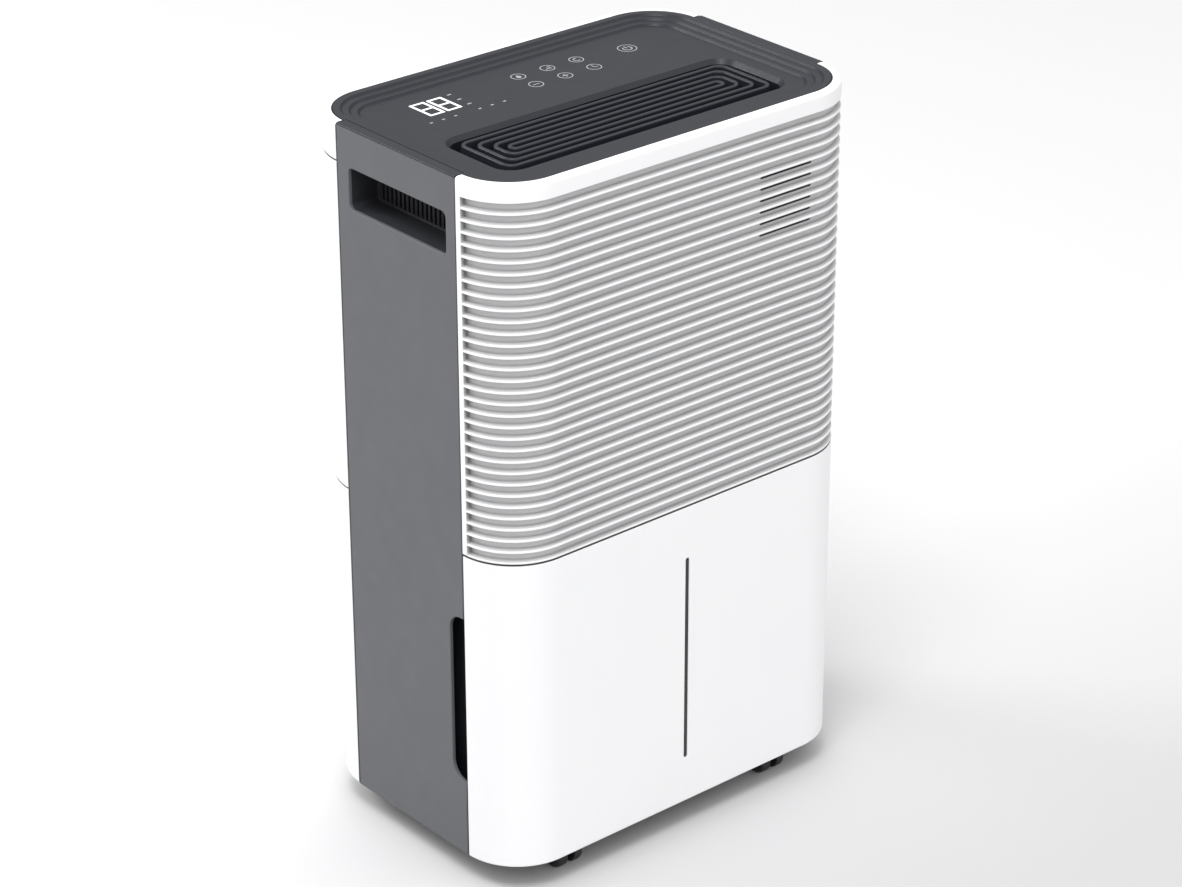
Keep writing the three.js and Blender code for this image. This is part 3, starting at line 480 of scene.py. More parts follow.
def materials():
    made = {}
    # the second colour is painted shade, mixed into the white plastic where it lies in hollows
    white, painted_shade_grey = linear(233, 233, 234), linear(100, 100, 101)
    made["white_plastic"] = moulded("satin_white_plastic", white, 0.36, 1500, 0.012, 0.012, painted_shade_grey)
    made["grey_plastic"] = moulded("grained_grey_plastic", linear(90, 91, 95), 0.55, 1100, 0.05)
    lid = moulded("grained_dark_plastic", linear(32, 34, 41), 0.35, 1100, 0.04)
    made["lid_plastic"] = lid.set(Specular_IOR_Level=0.3)
    made["black_plastic"] = moulded("black_plastic", linear(15, 16, 19), 0.45, 1300, 0.03, 0.1)
    made["tank_plastic"] = moulded("tank_plastic", linear(50, 52, 57), 0.34, 900, 0.02, 0.06)
    made["rubber"] = moulded("black_rubber", linear(24, 24, 25), 0.8, 1600, 0.04, 0.12)
    window = moulded("smoked_window", linear(18, 19, 21), 0.2, 700, 0.003)
    made["smoked_window"] = window.set(Coat_Weight=0.3, Coat_Roughness=0.1)

    foam = Finish("float_foam", linear(222, 222, 214), 0.85, tone=0.04)
    cells = foam.node("ShaderNodeTexVoronoi", Vector=foam.place, Scale=900.0).outputs["Distance"]
    made["float_foam"] = foam.relief(cells, 0.2)

    net = Finish("nylon_net", linear(58, 60, 64), 0.65, tone=0.08)
    made["filter_net"] = net.relief(net.noise(2400, 1), 0.05).set(Sheen_Weight=0.3)

    steel = Finish("zinc_steel", linear(176, 178, 181), 0.32, 1.0, 0.05)
    stretched = steel.node("ShaderNodeMapping", Vector=steel.place, Scale=(60.0, 60.0, 2600.0))
    brushed = steel.node("ShaderNodeTexNoise", Vector=stretched.outputs["Vector"], Scale=1.0, Detail=3.0)
    made["steel"] = steel.relief(brushed.outputs["Fac"], 0.02)

    paint = Finish("black_enamel", linear(28, 29, 31), 0.3, tone=0.08)
    made["black_paint"] = paint.relief(paint.noise(700, 3), 0.02).set(Coat_Weight=0.5, Coat_Roughness=0.15)

    bright, dull = linear(196, 122, 88), linear(150, 88, 62)
    copper = Finish("copper_tube", bright, 0.28, 1.0, 0.1)
    tarnish = copper.mix(copper.spread(copper.noise(120, 4), 0, 1), bright, dull)
    copper.link(tarnish, "Base Color")
    made["copper"] = copper.relief(copper.noise(900, 2), 0.01)

    aluminium = Finish("mill_aluminium", linear(196, 199, 203), 0.36, 1.0, 0.04)
    fins = aluminium.node("ShaderNodeTexWave", Vector=aluminium.place, Scale=180.0, Distortion=0.4)
    made["aluminium"] = aluminium.relief(fins.outputs["Fac"], 0.3)

    mask, track = linear(24, 66, 46), linear(38, 92, 64)
    board = Finish("solder_mask", mask, 0.3, tone=0.05)
    cells = board.node("ShaderNodeTexVoronoi", Vector=board.place, Scale=260.0)
    cells.distance = "MANHATTAN"
    tracks = board.spread(cells.outputs["Distance"], 0, 1)
    board.link(board.mix(tracks, mask, track), "Base Color")
    made["circuit_board"] = board.relief(tracks, 0.03)
    return {slot: finish.material for slot, finish in made.items()}


MATERIALS = materials()
LINING = moulded("dark_lining_plastic", linear(36, 37, 42), 0.6, 1100, 0.04, 0.06).material
BRIGHT_INK = moulded("bright_ink", linear(250, 250, 250), 0.6, 1800, 0.01).material
PALE_INK = moulded("pale_ink", linear(156, 157, 160), 0.6, 1800, 0.01).material


def placed(name, data):
    """An object with this data, linked to the scene."""
    made = bpy.data.objects.new(name, data)
    bpy.context.scene.collection.objects.link(made)
    return made


def piece(name, shape, slot, body, *stands_for, material=None, crisp=35):
    """Makes an object of a shape, with the material of its slot (or the one given) and its body, and hides
    the nodes it stands for.
    """
    mesh = bpy.data.meshes.new(name)
    mesh.from_pydata([p * MM for p in shape.points], [], shape.faces)
    work = bmesh.new()
    work.from_mesh(mesh)
    bmesh.ops.remove_doubles(work, verts=work.verts, dist=2e-6)
    bmesh.ops.dissolve_degenerate(work, edges=work.edges, dist=1e-6)
    bmesh.ops.recalc_face_normals(work, faces=work.faces)
    work.to_mesh(mesh)
    work.free()
    mesh.shade_smooth()
    mesh.set_sharp_from_angle(angle=math.radians(crisp))
    mesh.materials.append(material or MATERIALS[slot])
    made = placed(name, mesh)
    weigh = made.modifiers.new("weighted_normals", "WEIGHTED_NORMAL")
    weigh.keep_sharp = True
    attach(made, body)
    if stands_for:
        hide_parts(*stands_for)


# ---- front, tank face and rear walls
def ribbed_front():
    corners = [(FRONT_LOW.z, FRONT_WALL), (FRONT_LOW.z, 0)]
    radii = [0, CREST_ROUND]
    for rib in range(RIB_COUNT - 1, -2, -1):
        high = TOP_RIB - RIB_PITCH * rib - RIB_HALF
        low = high - RIB_PITCH + 2 * RIB_HALF
        corners += [(low - CREST_DROP, 0), (low + LEDGE_RISE, GROOVE), (high, GROOVE), (high, 0)]
        radii += [CREST_ROUND, GROOVE_ROUND, GROOVE_ROUND, CREST_UNDER]
    corners += [(TOP, 0), (TOP, RIM), (SHOULDER, RIM), (SHOULDER, FRONT_WALL)]
    radii += [2.4, 0.4, 0, 0]
    section = soften(corners, radii)
    windows = []
    for rib in SLIT["ribs"]:
        crest = TOP_RIB - RIB_PITCH * rib
        slit = rounded(*SLIT["x"], crest - SLIT["down"][0], crest - SLIT["down"][1], 0.8)
        windows.append((slit, GROOVE, FRONT_WALL))
    seam = HALF_DEPTH - CORNER
    edge = -FRONT_HIGH.y - seam
    stations = corner_stations(seam_angle(edge), (edge - 0.4 + STRIP,))
    return wrapped(-1, section, stations, windows, 0.2, (FRONT_LOW.z + 1, SHOULDER, GROOVE + 0.1))


def tank_face():
    low, high, lip = FACE_LOW.z, FACE_HIGH.z, 10
    corners = [(low, 0), (high, 0), (high, lip), (high - WALL, lip), (high - WALL, WALL), (low, WALL)]
    section = soften(corners, [1.4, 0.6, 0.4, 0.4, 1, 0.4])
    slot = rounded(-LEVEL["x"], LEVEL["x"], *LEVEL["z"], LEVEL["x"] - 0.02, 6)
    edge = -FACE_HIGH.y - (HALF_DEPTH - CORNER)
    return wrapped(-1, section, corner_stations(seam_angle(edge)), [(slot, 0, WALL)])


def level_strip():
    """The clear strip in the tank's face, with its flange behind the wall."""
    x = LEVEL["x"] - LEVEL["gap"]
    low, high = LEVEL["z"][0] + LEVEL["gap"], LEVEL["z"][1] - LEVEL["gap"]
    outline = rounded(-x, x, low, high, x - 0.02, 6)
    sunk, behind, thick = 0.5, 0.6, 0.8
    inside = -HALF_DEPTH + WALL + behind
    shape = plate([outline], inside, -HALF_DEPTH + sunk, "y", 0.25)
    half, over = LEVEL["flange"]
    flange = rounded(-half, half, low - over, high + over, 2)
    return shape.join(plate([flange], inside + thick, inside, "y", 0.2))


REAR_STATIONS = corner_stations(seam_angle(SEAM_GAP))


def rear_lower():
    corners = [(REAR_LOW, 0), (REAR_HIGH, 0), (REAR_HIGH, WALL), (REAR_LOW, WALL)]
    section = soften(corners, [1.4, 0.5, 0.3, 0.3])
    windows = [(circle(*place, CUP["radius"], 48), 0, WALL) for place in (DRAIN, CORD_OUTLET)]
    windows += [(circle(*place, SCREW_BOSS["sink"], 24), 0, WALL) for place in SCREWS]
    shape = wrapped(1, section, REAR_STATIONS, windows, 0.6)
    back = HALF_DEPTH - WALL
    radius, outer = CUP["radius"], CUP["radius"] + CUP["wall"]
    under, floor = CUP["floor"], CUP["floor"] + CUP["floor_thickness"]
    cup = [(outer, under), (outer, back), (radius, back), (radius, floor)]
    for (x, z), bore in ((DRAIN, DRAIN_BORE), (CORD_OUTLET, CORD_BORE)):
        profile = [(bore, under), *cup, (bore, floor)]
        shape.join(turned(soften(profile, [0, 1, 0, 0, 1.2, 0.3]), (x, 0, z), "y", 48, closed=True))
    bore, radius, floor = SCREW_BOSS["bore"], SCREW_BOSS["radius"], SCREW_BOSS["floor"]
    for x, z in SCREWS:
        profile = [(bore, floor), (radius, floor), (radius, back), (bore, back)]
        shape.join(turned(profile, (x, 0, z), "y", 24, closed=True))
    return shape


def rear_band():
    corners = [(BAND_LOW, 0), (TOP, 0), (TOP, RIM), (SHOULDER, RIM), (SHOULDER, WALL), (BAND_LOW, WALL)]
    return wrapped(1, soften(corners, [0.5, 2.4, 0.4, 0, 0, 0.3]), REAR_STATIONS)


def intake_panel():
    """The rear panel: its rows of openings are crossed by blades and split by uprights."""
    corners = [(INTAKE_LOW, 0), (INTAKE_HIGH, 0), (INTAKE_HIGH, WALL), (INTAKE_LOW, WALL)]
    section = soften(corners, [0.5, 0.5, 0.3, 0.3])
    finger = rounded(-FINGER_SLOT["x"], FINGER_SLOT["x"], *FINGER_SLOT["z"], FINGER_SLOT["corner"], 6)
    windows = [(finger, 0, WALL)]
    blade, upright, columns = LOUVRE["blade"], LOUVRE["upright"], LOUVRE["columns"]
    height = (INTAKE["height"] - blade) / 2
    width = (2 * INTAKE["half"] - upright * (columns - 1)) / columns
    for row in range(INTAKE["rows"]):
        low = INTAKE["first"] + INTAKE["pitch"] * row
        for middle in (-INTAKE["x"], INTAKE["x"]):
            for column in range(columns):
                x = middle - INTAKE["half"] + (width + upright) * column
                for z in (low, low + height + blade):
                    windows.append((rounded(x, x + width, z, z + height, LOUVRE["corner"], 3), 0, WALL))
    return wrapped(1, section, REAR_STATIONS, windows, 0.5)


piece("ribbed_front", ribbed_front(), "white_plastic", "case", "front_shell")
piece("tank_face", tank_face(), "white_plastic", "tank", "tank_front_panel")
piece("level_strip", level_strip(), "smoked_window", "tank", "level_window")
piece("rear_wall", rear_lower(), "white_plastic", "case", "rear_lower_shell")
piece("rear_band", rear_band(), "white_plastic", "case", "rear_top_band")
piece("intake_louvres", intake_panel(), "white_plastic", "intake_panel", "intake_grille")


# ---- sides
def side_cover():
    """The right side: an upright plate with its hand opening and its finger notch."""
    y0, y1 = SIDE_LOW.y, SIDE_HIGH.y
    z0, z1 = SIDE_LOW.z, SIDE_HIGH.z - CAP
    grip_low, grip_high = GRIP["z"]
    lower_round, upper_round = GRIP["corners"]
    outline = soften(
        [(y0, z0), (y1, z0), (y1, z1), (y0, z1), (y0, grip_high), (GRIP["y"], grip_high),
         (GRIP["y"], grip_low), (y0, grip_low)],
        [0.5, 0.5, 0, 0, 1.2, upper_round, lower_round, 1.2], 8)
    hand = rounded(*HAND["y"], *HAND["z"], HAND["corner"], 8)
    return plate([outline, hand], HALF_WIDTH - WALL, HALF_WIDTH, "x", 0.7)


def side_cap():
    """The flange on top of the right side, beside the lid; it has the lid's darker colour."""
    inner, outer, under = HALF_WIDTH - WALL, HALF_WIDTH - CAP_BACK, TOP - CAP_DEPTH
    back, ledge = SIDE_LOW.x, TOP - CAP
    corners = [(back, under), (inner, under), (inner, ledge), (outer, ledge), (outer, TOP), (back, TOP)]
    edge = soften(corners, [0.2, 0, 0, 0.1, 0.8, 0.4], 4)
    return plate([edge], SIDE_LOW.y, SIDE_HIGH.y, "y", 0.3, both=True)


def hand_pocket():
    """The lining of the right hand opening: a tub with a comb of upright slots in its inner wall."""
    skin, lip, bend = POCKET["skin"], POCKET["lip"], POCKET["bend"]
    mouth, bottom = POCKET_HIGH.x, HALF_WIDTH - HAND["depth"]
    lip_back = mouth - POCKET["lip_thickness"]

    def loop(grow):
        y0, y1 = HAND["y"][0] - grow, HAND["y"][1] + grow
        z0, z1 = HAND["z"][0] - grow, HAND["z"][1] + grow
        return rounded(y0, y1, z0, z1, max(1, HAND["corner"] + grow), 6)

    levels = [(-inset, bottom + rise) for inset, rise in quarter_round(bend, 4)]
    levels += [(0, mouth), (lip, mouth), (lip, lip_back), (skin, lip_back), (skin, bottom - skin)]
    shape = Shape()
    rings = shape.loft([(x, y, z) for y, z in loop(grow)] for grow, x in levels)
    tunnels = []
    z0, z1 = HAND["z"][0] + HAND_SLOTS["lift"], HAND["z"][1] - HAND_SLOTS["lift"]
    for k in range(HAND_SLOTS["count"]):
        y = HAND["y"][0] + HAND_SLOTS["margin"] + HAND_SLOTS["pitch"] * k
        slot = rounded(y, y + HAND_SLOTS["width"], z0, z1, 0.8)
        tunnels.append(shape.loft([(x, u, v) for u, v in slot] for x in (bottom, bottom - skin)))
    shape.cap(rings[0], [t[0] for t in tunnels])
    shape.cap(rings[-1], [t[1] for t in tunnels])
    return shape


for hand, side in (("left", -1), ("right", 1)):
    cover, cap, pocket = side_cover(), side_cap(), hand_pocket()
    if side < 0:
        cover, cap, pocket = cover.mirrored(), cap.mirrored(), pocket.mirrored()
    piece(f"side_cover_{hand}", cover, "grey_plastic", "case", f"side_panel_{hand}")
    piece(f"side_cap_{hand}", cap, "lid_plastic", "case")
    piece(f"hand_pocket_{hand}", pocket, "black_plastic", "case", f"handle_pocket_{hand}",
          material=LINING)


# ---- lid and outlet
def lid_loop(inset):
    """The lid's outline, drawn in between the seams to make room for the side flanges."""
    x, y = LID_HIGH.x - inset, LID_HIGH.y - inset
    radius = CORNER - (HALF_DEPTH - LID_HIGH.y) - inset
    side = min(x, SIDE_LOW.x - 0.3)
    quarter = [math.radians(90 * k / 14) for k in range(15)]
    loop = []
    for across, along, start in ((1, -1, -90), (1, 1, 0), (-1, 1, 90), (-1, -1, 180)):
        centre = Vector((across * (x - radius), along * (y - radius)))
        end = SIDE_LOW.y if along < 0 else SIDE_HIGH.y
        seam = [(across * x, end), (across * side, end)]
        turns = [math.radians(start) + t for t in quarter]
        corner = [tuple(centre + radius * Vector((math.cos(t), math.sin(t)))) for t in turns]
        loop += corner + seam if across * along < 0 else seam[::-1] + corner
    return loop


def outlet_loop(grow):
    x, y, middle = OUTLET["x"] + grow, OUTLET["y"] + grow, OUTLET["middle"]
    return rounded(-x, x, middle - y, middle + y, OUTLET["corner"] + grow, 10)


def lid():
    under = PAN - LID_THICKNESS
    profile = [(0, under), (0, TOP)]
    radii = [0, 0.4]
    for i, inset in enumerate(STEP_INSETS):
        level = TOP - STEP_DEPTH * i
        profile += [(inset, level), (inset + STEP_SLOPE, level - STEP_DEPTH)]
        radii += STEP_ROUNDS
    profile.append((STEP_INSETS[-1] + STEP_SLOPE + 2, PAN))
    radii.append(0)
    levels = soften(profile, radii, 2, closed=False)
    shape = Shape()
    rings = shape.loft([(x, y, z) for x, y in lid_loop(inset)] for inset, z in levels)
    flare, collar = OUTLET["flare"], OUTLET["collar"]
    wall = soften(
        [(flare, PAN), (0, PAN - flare), (0, LID_LOW.z), (collar, LID_LOW.z), (collar, under)],
        [0, 0.6, 0.3, 0.3, 0], 3, closed=False)
    mouth = shape.loft([(x, y, z) for x, y in outlet_loop(grow)] for grow, z in wall)
    shape.cap(rings[-1], [mouth[0]])
    shape.cap(rings[0], [mouth[-1]])
    return shape


def outlet_loops():
    """Nested loops with rounded tops and feet that spread, on two low cross ribs."""
    half, middle = LOOP["bar"] / 2, OUTLET["middle"]
    foot = half + LOOP["spread"]
    top, bottom = LOOP["top"], LOOP["bottom"]
    section = soften([(-foot, bottom), (foot, bottom), (half, top), (-half, top)], [0.3, 0.3, 1.2, 1.2], 5)
    shape = Shape()
    for k in range(LOOP["count"]):
        loops = []
        for grow, z in section:
            x = LOOP["x"] - LOOP["pitch"] * k + grow
            y = LOOP["y"] - LOOP["pitch"] * k + grow
            loop = rounded(-x, x, middle - y, middle + y, min(7 + grow, y - 0.02), 10)
            loops.append([(u, v, z) for u, v in loop])
        shape.loft(loops, closed=True)
    reach, thin = OUTLET["y"] - 0.3, CROSS_RIB["half"]
    for x in (-CROSS_RIB["x"], CROSS_RIB["x"]):
        height = (bottom, bottom + CROSS_RIB["height"])
        shape.join(beam((x - thin, x + thin), (middle - reach, middle + reach), height, 0.3, 0.3))
    return shape


piece("stepped_lid", lid(), "lid_plastic", "case", "top_lid")
piece("outlet_loops", outlet_loops(), "lid_plastic", "case", "outlet_grille")


# ---- printed marks on the lid
INK_LEVELS = (PAN - 0.02, PAN + 0.05)
DIGITS = {"columns": ((-97.8, -85.3), (-83.3, -71)), "rows": (40, 64.1), "stroke": 2.1}
LAMPS = {
    "column": (-65.2, -63), "heights": (63.4, 52.4, 41.8),
    "row": 30.2, "places": (-105, -94.9, -84.8, -64.4, -54.1, -43.7), "half": 0.6, "width": 1.4,
}
KEYS = {"rows": (60, 41.1), "columns": (-7.5, 18, 43.5), "radius": 5.4, "ring": 0.7, "sign": 0.8}
KEY_NAMES = (("drop", "fan", "moon"), ("minus", "plus", "clock"))
POWER_KEY = {"x": 84.4, "y": 54.3, "radius": 7, "sign": 0.9}


def mark(*loops):
    return plate(loops, *INK_LEVELS, "z", 0.01, steps=1)


def digit(x0, x1):
    """A figure eight of straight strokes."""
    y0, y1 = DIGITS["rows"]
    middle, stroke = (y0 + y1) / 2, DIGITS["stroke"]
    lower = rounded(x0 + stroke, x1 - stroke, y0 + stroke, middle - stroke / 2, 0)
    upper = rounded(x0 + stroke, x1 - stroke, middle + stroke / 2, y1 - stroke, 0)
    return mark(rounded(x0, x1, y0, y1, 0.8), lower, upper)


def bar(start, end, width):
    """A straight printed line with round ends."""
    a, b = Vector(start), Vector(end)
    heading = math.atan2(b.y - a.y, b.x - a.x)
    loop = []
    for centre, turn in ((b, -90), (a, 90)):
        for k in range(7):
            angle = heading + math.radians(turn + 30 * k)
            loop.append((centre.x + width / 2 * math.cos(angle), centre.y + width / 2 * math.sin(angle)))
    return mark(loop)


def arc(x, y, radius, start, end, width):
    """A printed arc with square ends, from one angle to another."""
    turns = [math.radians(start + (end - start) * k / 24) for k in range(25)]
    reaches = (radius + width / 2, radius - width / 2)
    outer, inner = ([(x + r * math.cos(t), y + r * math.sin(t)) for t in turns] for r in reaches)
    return mark(outer + inner[::-1])


def ringed(x, y, *signs, radius=KEYS["radius"]):
    """A touch key: a printed ring round a plain sign."""
    shape = mark(circle(x, y, radius, 40), circle(x, y, radius - KEYS["ring"], 40))
    return shape.join(*signs)


def cross(arm, half):
    """A cross with four equal arms, from the right arm's upper corner on."""
    upper = [(arm, half), (half, half), (half, arm), (-half, arm), (-half, half), (-arm, half)]
    return upper + [(-u, -v) for u, v in upper]


PLUS = cross(2.6, 0.16 * 2.6)


def key_signs(x, y):
    """Six plain signs: drop, plus, minus, clock hands, fan bars and a moon, for one place on the lid."""
    thin = KEYS["sign"]
    drop = [(0, 2.8), (1.9, -0.4), (1.4, -2.2), (0, -2.8), (-1.4, -2.2), (-1.9, -0.4)]
    return {
        "drop": [mark(soften([(x + u, y + v) for u, v in drop], [0.2, 1, 1, 1, 1, 1], 4))],
        "plus": [mark(soften([(x + u, y + v) for u, v in PLUS], 0.1, 1))],
        "minus": [bar((x - 2.4, y), (x + 2.4, y), thin)],
        "clock": [bar((x, y), (x, y + 2.8), thin), bar((x + 0.8, y - 0.2), (x + 2.2, y - 0.9), thin)],
        "fan": [bar((x + k, y - 2.2), (x + k, y - 1.6 + 0.9 * (k + 2.4)), thin) for k in (-2, 0, 2)],
        "moon": [arc(x + 0.4, y, 2.4, 55, 305, thin)],
    }


def printed(name, shape, ink):
    piece(name, shape, "white_plastic", "case", material=ink)


def readout():
    """Two digits of straight strokes."""
    first, second = (digit(*column) for column in DIGITS["columns"])
    return first.join(second)


def lamps():
    """A column and a row of small lamps beside the digits."""
    shape = Shape()
    (x0, x1), row, half, width = LAMPS["column"], LAMPS["row"], LAMPS["half"], LAMPS["width"]
    for y in LAMPS["heights"]:
        shape.join(bar((x0, y), (x1, y), width))
    for x in LAMPS["places"]:
        shape.join(bar((x - half, row), (x + half, row), width))
    return shape


def keys():
    """Two rows of three ringed keys."""
    shape = Shape()
    for names, y in zip(KEY_NAMES, KEYS["rows"]):
        for name, x in zip(names, KEYS["columns"]):
            shape.join(ringed(x, y, *key_signs(x, y)[name]))
    return shape


def power_key():
    x, y, width = POWER_KEY["x"], POWER_KEY["y"], POWER_KEY["sign"]
    shape = ringed(x, y, arc(x, y - 0.3, 3.2, 125, 415, width), radius=POWER_KEY["radius"])
    return shape.join(bar((x, y + 0.4), (x, y + 3.6), width))


printed("readout_digits", readout(), BRIGHT_INK)
printed("readout_lamps", lamps(), PALE_INK)
printed("key_rings", keys(), PALE_INK)
printed("power_key", power_key(), PALE_INK)


# ---- casters
WHEEL = {"half": 4.2, "hub": 4.2, "dish": 0.7, "axle": 2.1}
HOUSING = {"top": 24.6, "hood": 3.2, "web": 2.5, "eye": 5, "bore": 2.6, "stem": 4, "trail": 8}


def caster_wheels(name):
    """Two dished wheels with round shoulders, on one axle."""
    low, high = span(f"caster_wheels_{name}")
    centre = (low + high) / 2
    radius, half, hub = high.z / 2, WHEEL["half"], WHEEL["hub"]
    dish = half - WHEEL["dish"]
    outline = soften(
        [(0, -half), (radius, -half), (radius, half), (hub, half), (hub - 0.6, dish), (0, dish)],
        [0, 0.8, 3.4, 0.3, 0.2, 0], 5)
    shape = Shape()
    for side in (-1, 1):
        middle = high.x - half if side > 0 else low.x + half
        profile = [(r, side * level) for r, level in outline]
        shape.join(turned(profile, (middle, centre.y, radius), "x", 56))
    thick, x0, x1 = WHEEL["axle"], low.x + 4, high.x - 4
    axle = [(0, x0), (thick, x0), (thick, x1), (0, x1)]
    return shape.join(turned(axle, (0, centre.y, radius), "x", 24))


def caster_housing(name):
    """A hood over the wheels, the web between them that holds the axle, and the stem of the swivel."""
    low, high = span(f"caster_housing_{name}")
    wheel_low, wheel_high = span(f"caster_wheels_{name}")
    x, wheel = (low.x + high.x) / 2, (wheel_low + wheel_high) / 2
    top, web, eye, stem = HOUSING["top"], HOUSING["web"], HOUSING["eye"], HOUSING["stem"]
    inside, rear = top - 1, high.y - 0.4
    turns = [math.radians(t) for t in range(180, 361, 20)]
    fin = [(rear, inside), (wheel.y - 8, inside), (wheel.y - 6, wheel.z)]
    fin += [(wheel.y + eye * math.cos(t), wheel.z + eye * math.sin(t)) for t in turns]
    fin.append((rear, top - 5))
    bore = circle(wheel.y, wheel.z, HOUSING["bore"], 24)
    shape = plate([fin, bore], x - web, x + web, "x", 0.5, both=True)
    hood = rounded(low.x, high.x, low.y, high.y, 6, 8)
    shape.join(plate([hood], top - HOUSING["hood"], top, "z", 1.2))
    pin = soften([(0, inside), (stem, inside), (stem, high.z), (0, high.z)], [0, 0, 0.6, 0])
    return shape.join(turned(pin, (x, high.y - HOUSING["trail"], 0), "z", 32))


for caster in CASTERS:
    piece(f"twin_wheels_{caster}", caster_wheels(caster), "black_plastic", f"rollers_{caster}",
          f"caster_wheels_{caster}")
    piece(f"caster_hood_{caster}", caster_housing(caster), "black_plastic", f"swivel_{caster}",
          f"caster_housing_{caster}")


# ---- drain, cord gland and screws
def ringed_tube(place, bore, sections, edge=0.4):
    """A tube with steps on its outside, about a line through place towards the rear."""
    profile = [(bore, sections[0][1]), *sections, (bore, sections[-1][1])]
    return turned(soften(profile, edge), (place[0], 0, place[1]), "y", 48, closed=True)


def drain_cap():
    """A soft cup over the spout, with a low ridge to hold it by."""
    rear = span("drain_cap")[1].y
    x, z = DRAIN
    bore, outer, mouth, end = 7.4, 9.4, rear - 8.5, rear - 2.4
    profile = [(bore, mouth), (outer, mouth), (outer, rear), (0, rear), (0, end), (bore, end)]
    shape = turned(soften(profile, [0.3, 0.4, 1.6, 0, 0, 0.4]), (x, 0, z), "y", 56)
    return shape.join(beam((x - 0.9, x + 0.9), (rear - 0.6, rear + 0.4), (z - 5, z + 5), 0.3))


def screw(place):
    """A pan-head screw with a cross recess."""
    x, z = place
    head, face, tip = 104.3, 106.2, 92
    shank, rim = 1.8, 3.8
    slots = anticlockwise(cross(2.1, 0.55))
    profile = [(shank, tip), (shank, head), (rim, head), (rim, face - 0.8), (2.9, face)]
    shape = Shape()
    rings = shape.loft([(x + u, y, z + v) for u, v in circle(0, 0, r, 40)] for r, y in profile)
    recess = shape.loft([(x + u, y, z + v) for u, v in slots] for y in (face, face - 1.1))
    shape.cap(rings[0])
    shape.cap(rings[-1], [recess[0]])
    shape.cap(recess[1])
    return shape


spout_sections = [(8.8, 86), (8.8, 93.6), (7, 93.6), (7, 99), (7.4, 100.4), (7, 101.6), (7, 103)]
piece("drain_nozzle", ringed_tube(DRAIN, 4.6, spout_sections, 0.3), "white_plastic", "case", "drain_spout")
piece("drain_stopper", drain_cap(), "rubber", "drain_plug", "drain_cap")
gland_sections = [(5.9, 86), (5.9, 96.3), (8.4, 96.3), (8.4, 98.4), (7, 104), (5.4, 104)]
piece("cord_gland", ringed_tube(CORD_OUTLET, 3.8, gland_sections), "black_plastic", "case", "power_gland")
for number, place in enumerate(SCREWS, 1):
    piece(f"shell_screw_{number}", screw(place), "steel", "case", f"rear_screw_{number}")


# ---- filter behind the intake panel
def filter_grid():
    """The filter's frame with its cross ribs."""
    low, high = span("filter_frame")
    columns, rows, edge, rib = 4, 5, 4, 4
    width = (high.x - low.x - 2 * edge - rib * (columns - 1)) / columns
    height = (high.z - low.z - 2 * edge - rib * (rows - 1)) / rows
    loops = [rounded(low.x, high.x, low.z, high.z, 2)]
    for column in range(columns):
        for row in range(rows):
            x = low.x + edge + (width + rib) * column
            z = low.z + edge + (height + rib) * row
            loops.append(rounded(x, x + width, z, z + height, 2))
    return plate(loops, low.y, high.y, "y", 0.4, both=True)


def filter_net():
    """Threads that pass over and under each other in a plain weave, at a pitch that can be seen."""
    low, high = span("filter_mesh")
    middle, pitch, thread = (low.y + high.y) / 2, 4.0, 0.32
    columns, rows = int((high.x - low.x) / pitch), int((high.z - low.z) / pitch)
    shape = Shape()
    for i in range(columns):
        x = low.x + pitch * (i + 0.5)
        waves = [middle + thread * (-1) ** (i + k) * 0.5 for k in range(rows)]
        steps = [(x, y, low.z + pitch * (k + 0.5)) for k, y in enumerate(waves)]
        shape.join(tube(steps, thread / 2, 4))
    for k in range(rows):
        z = low.z + pitch * (k + 0.5)
        waves = [middle - thread * (-1) ** (i + k) * 0.5 for i in range(columns)]
        steps = [(low.x + pitch * (i + 0.5), y, z) for i, y in enumerate(waves)]
        shape.join(tube(steps, thread / 2, 4))
    return shape


piece("filter_grid", filter_grid(), "black_plastic", "intake_panel", "filter_frame")
piece("filter_net", filter_net(), "filter_net", "intake_panel", "filter_mesh")


# ---- tank, its handle and its float
BUCKET = {"wall": 2.2, "rim": 190, "base": 8, "front_corner": 38, "rear_corner": 12, "ear": 9}


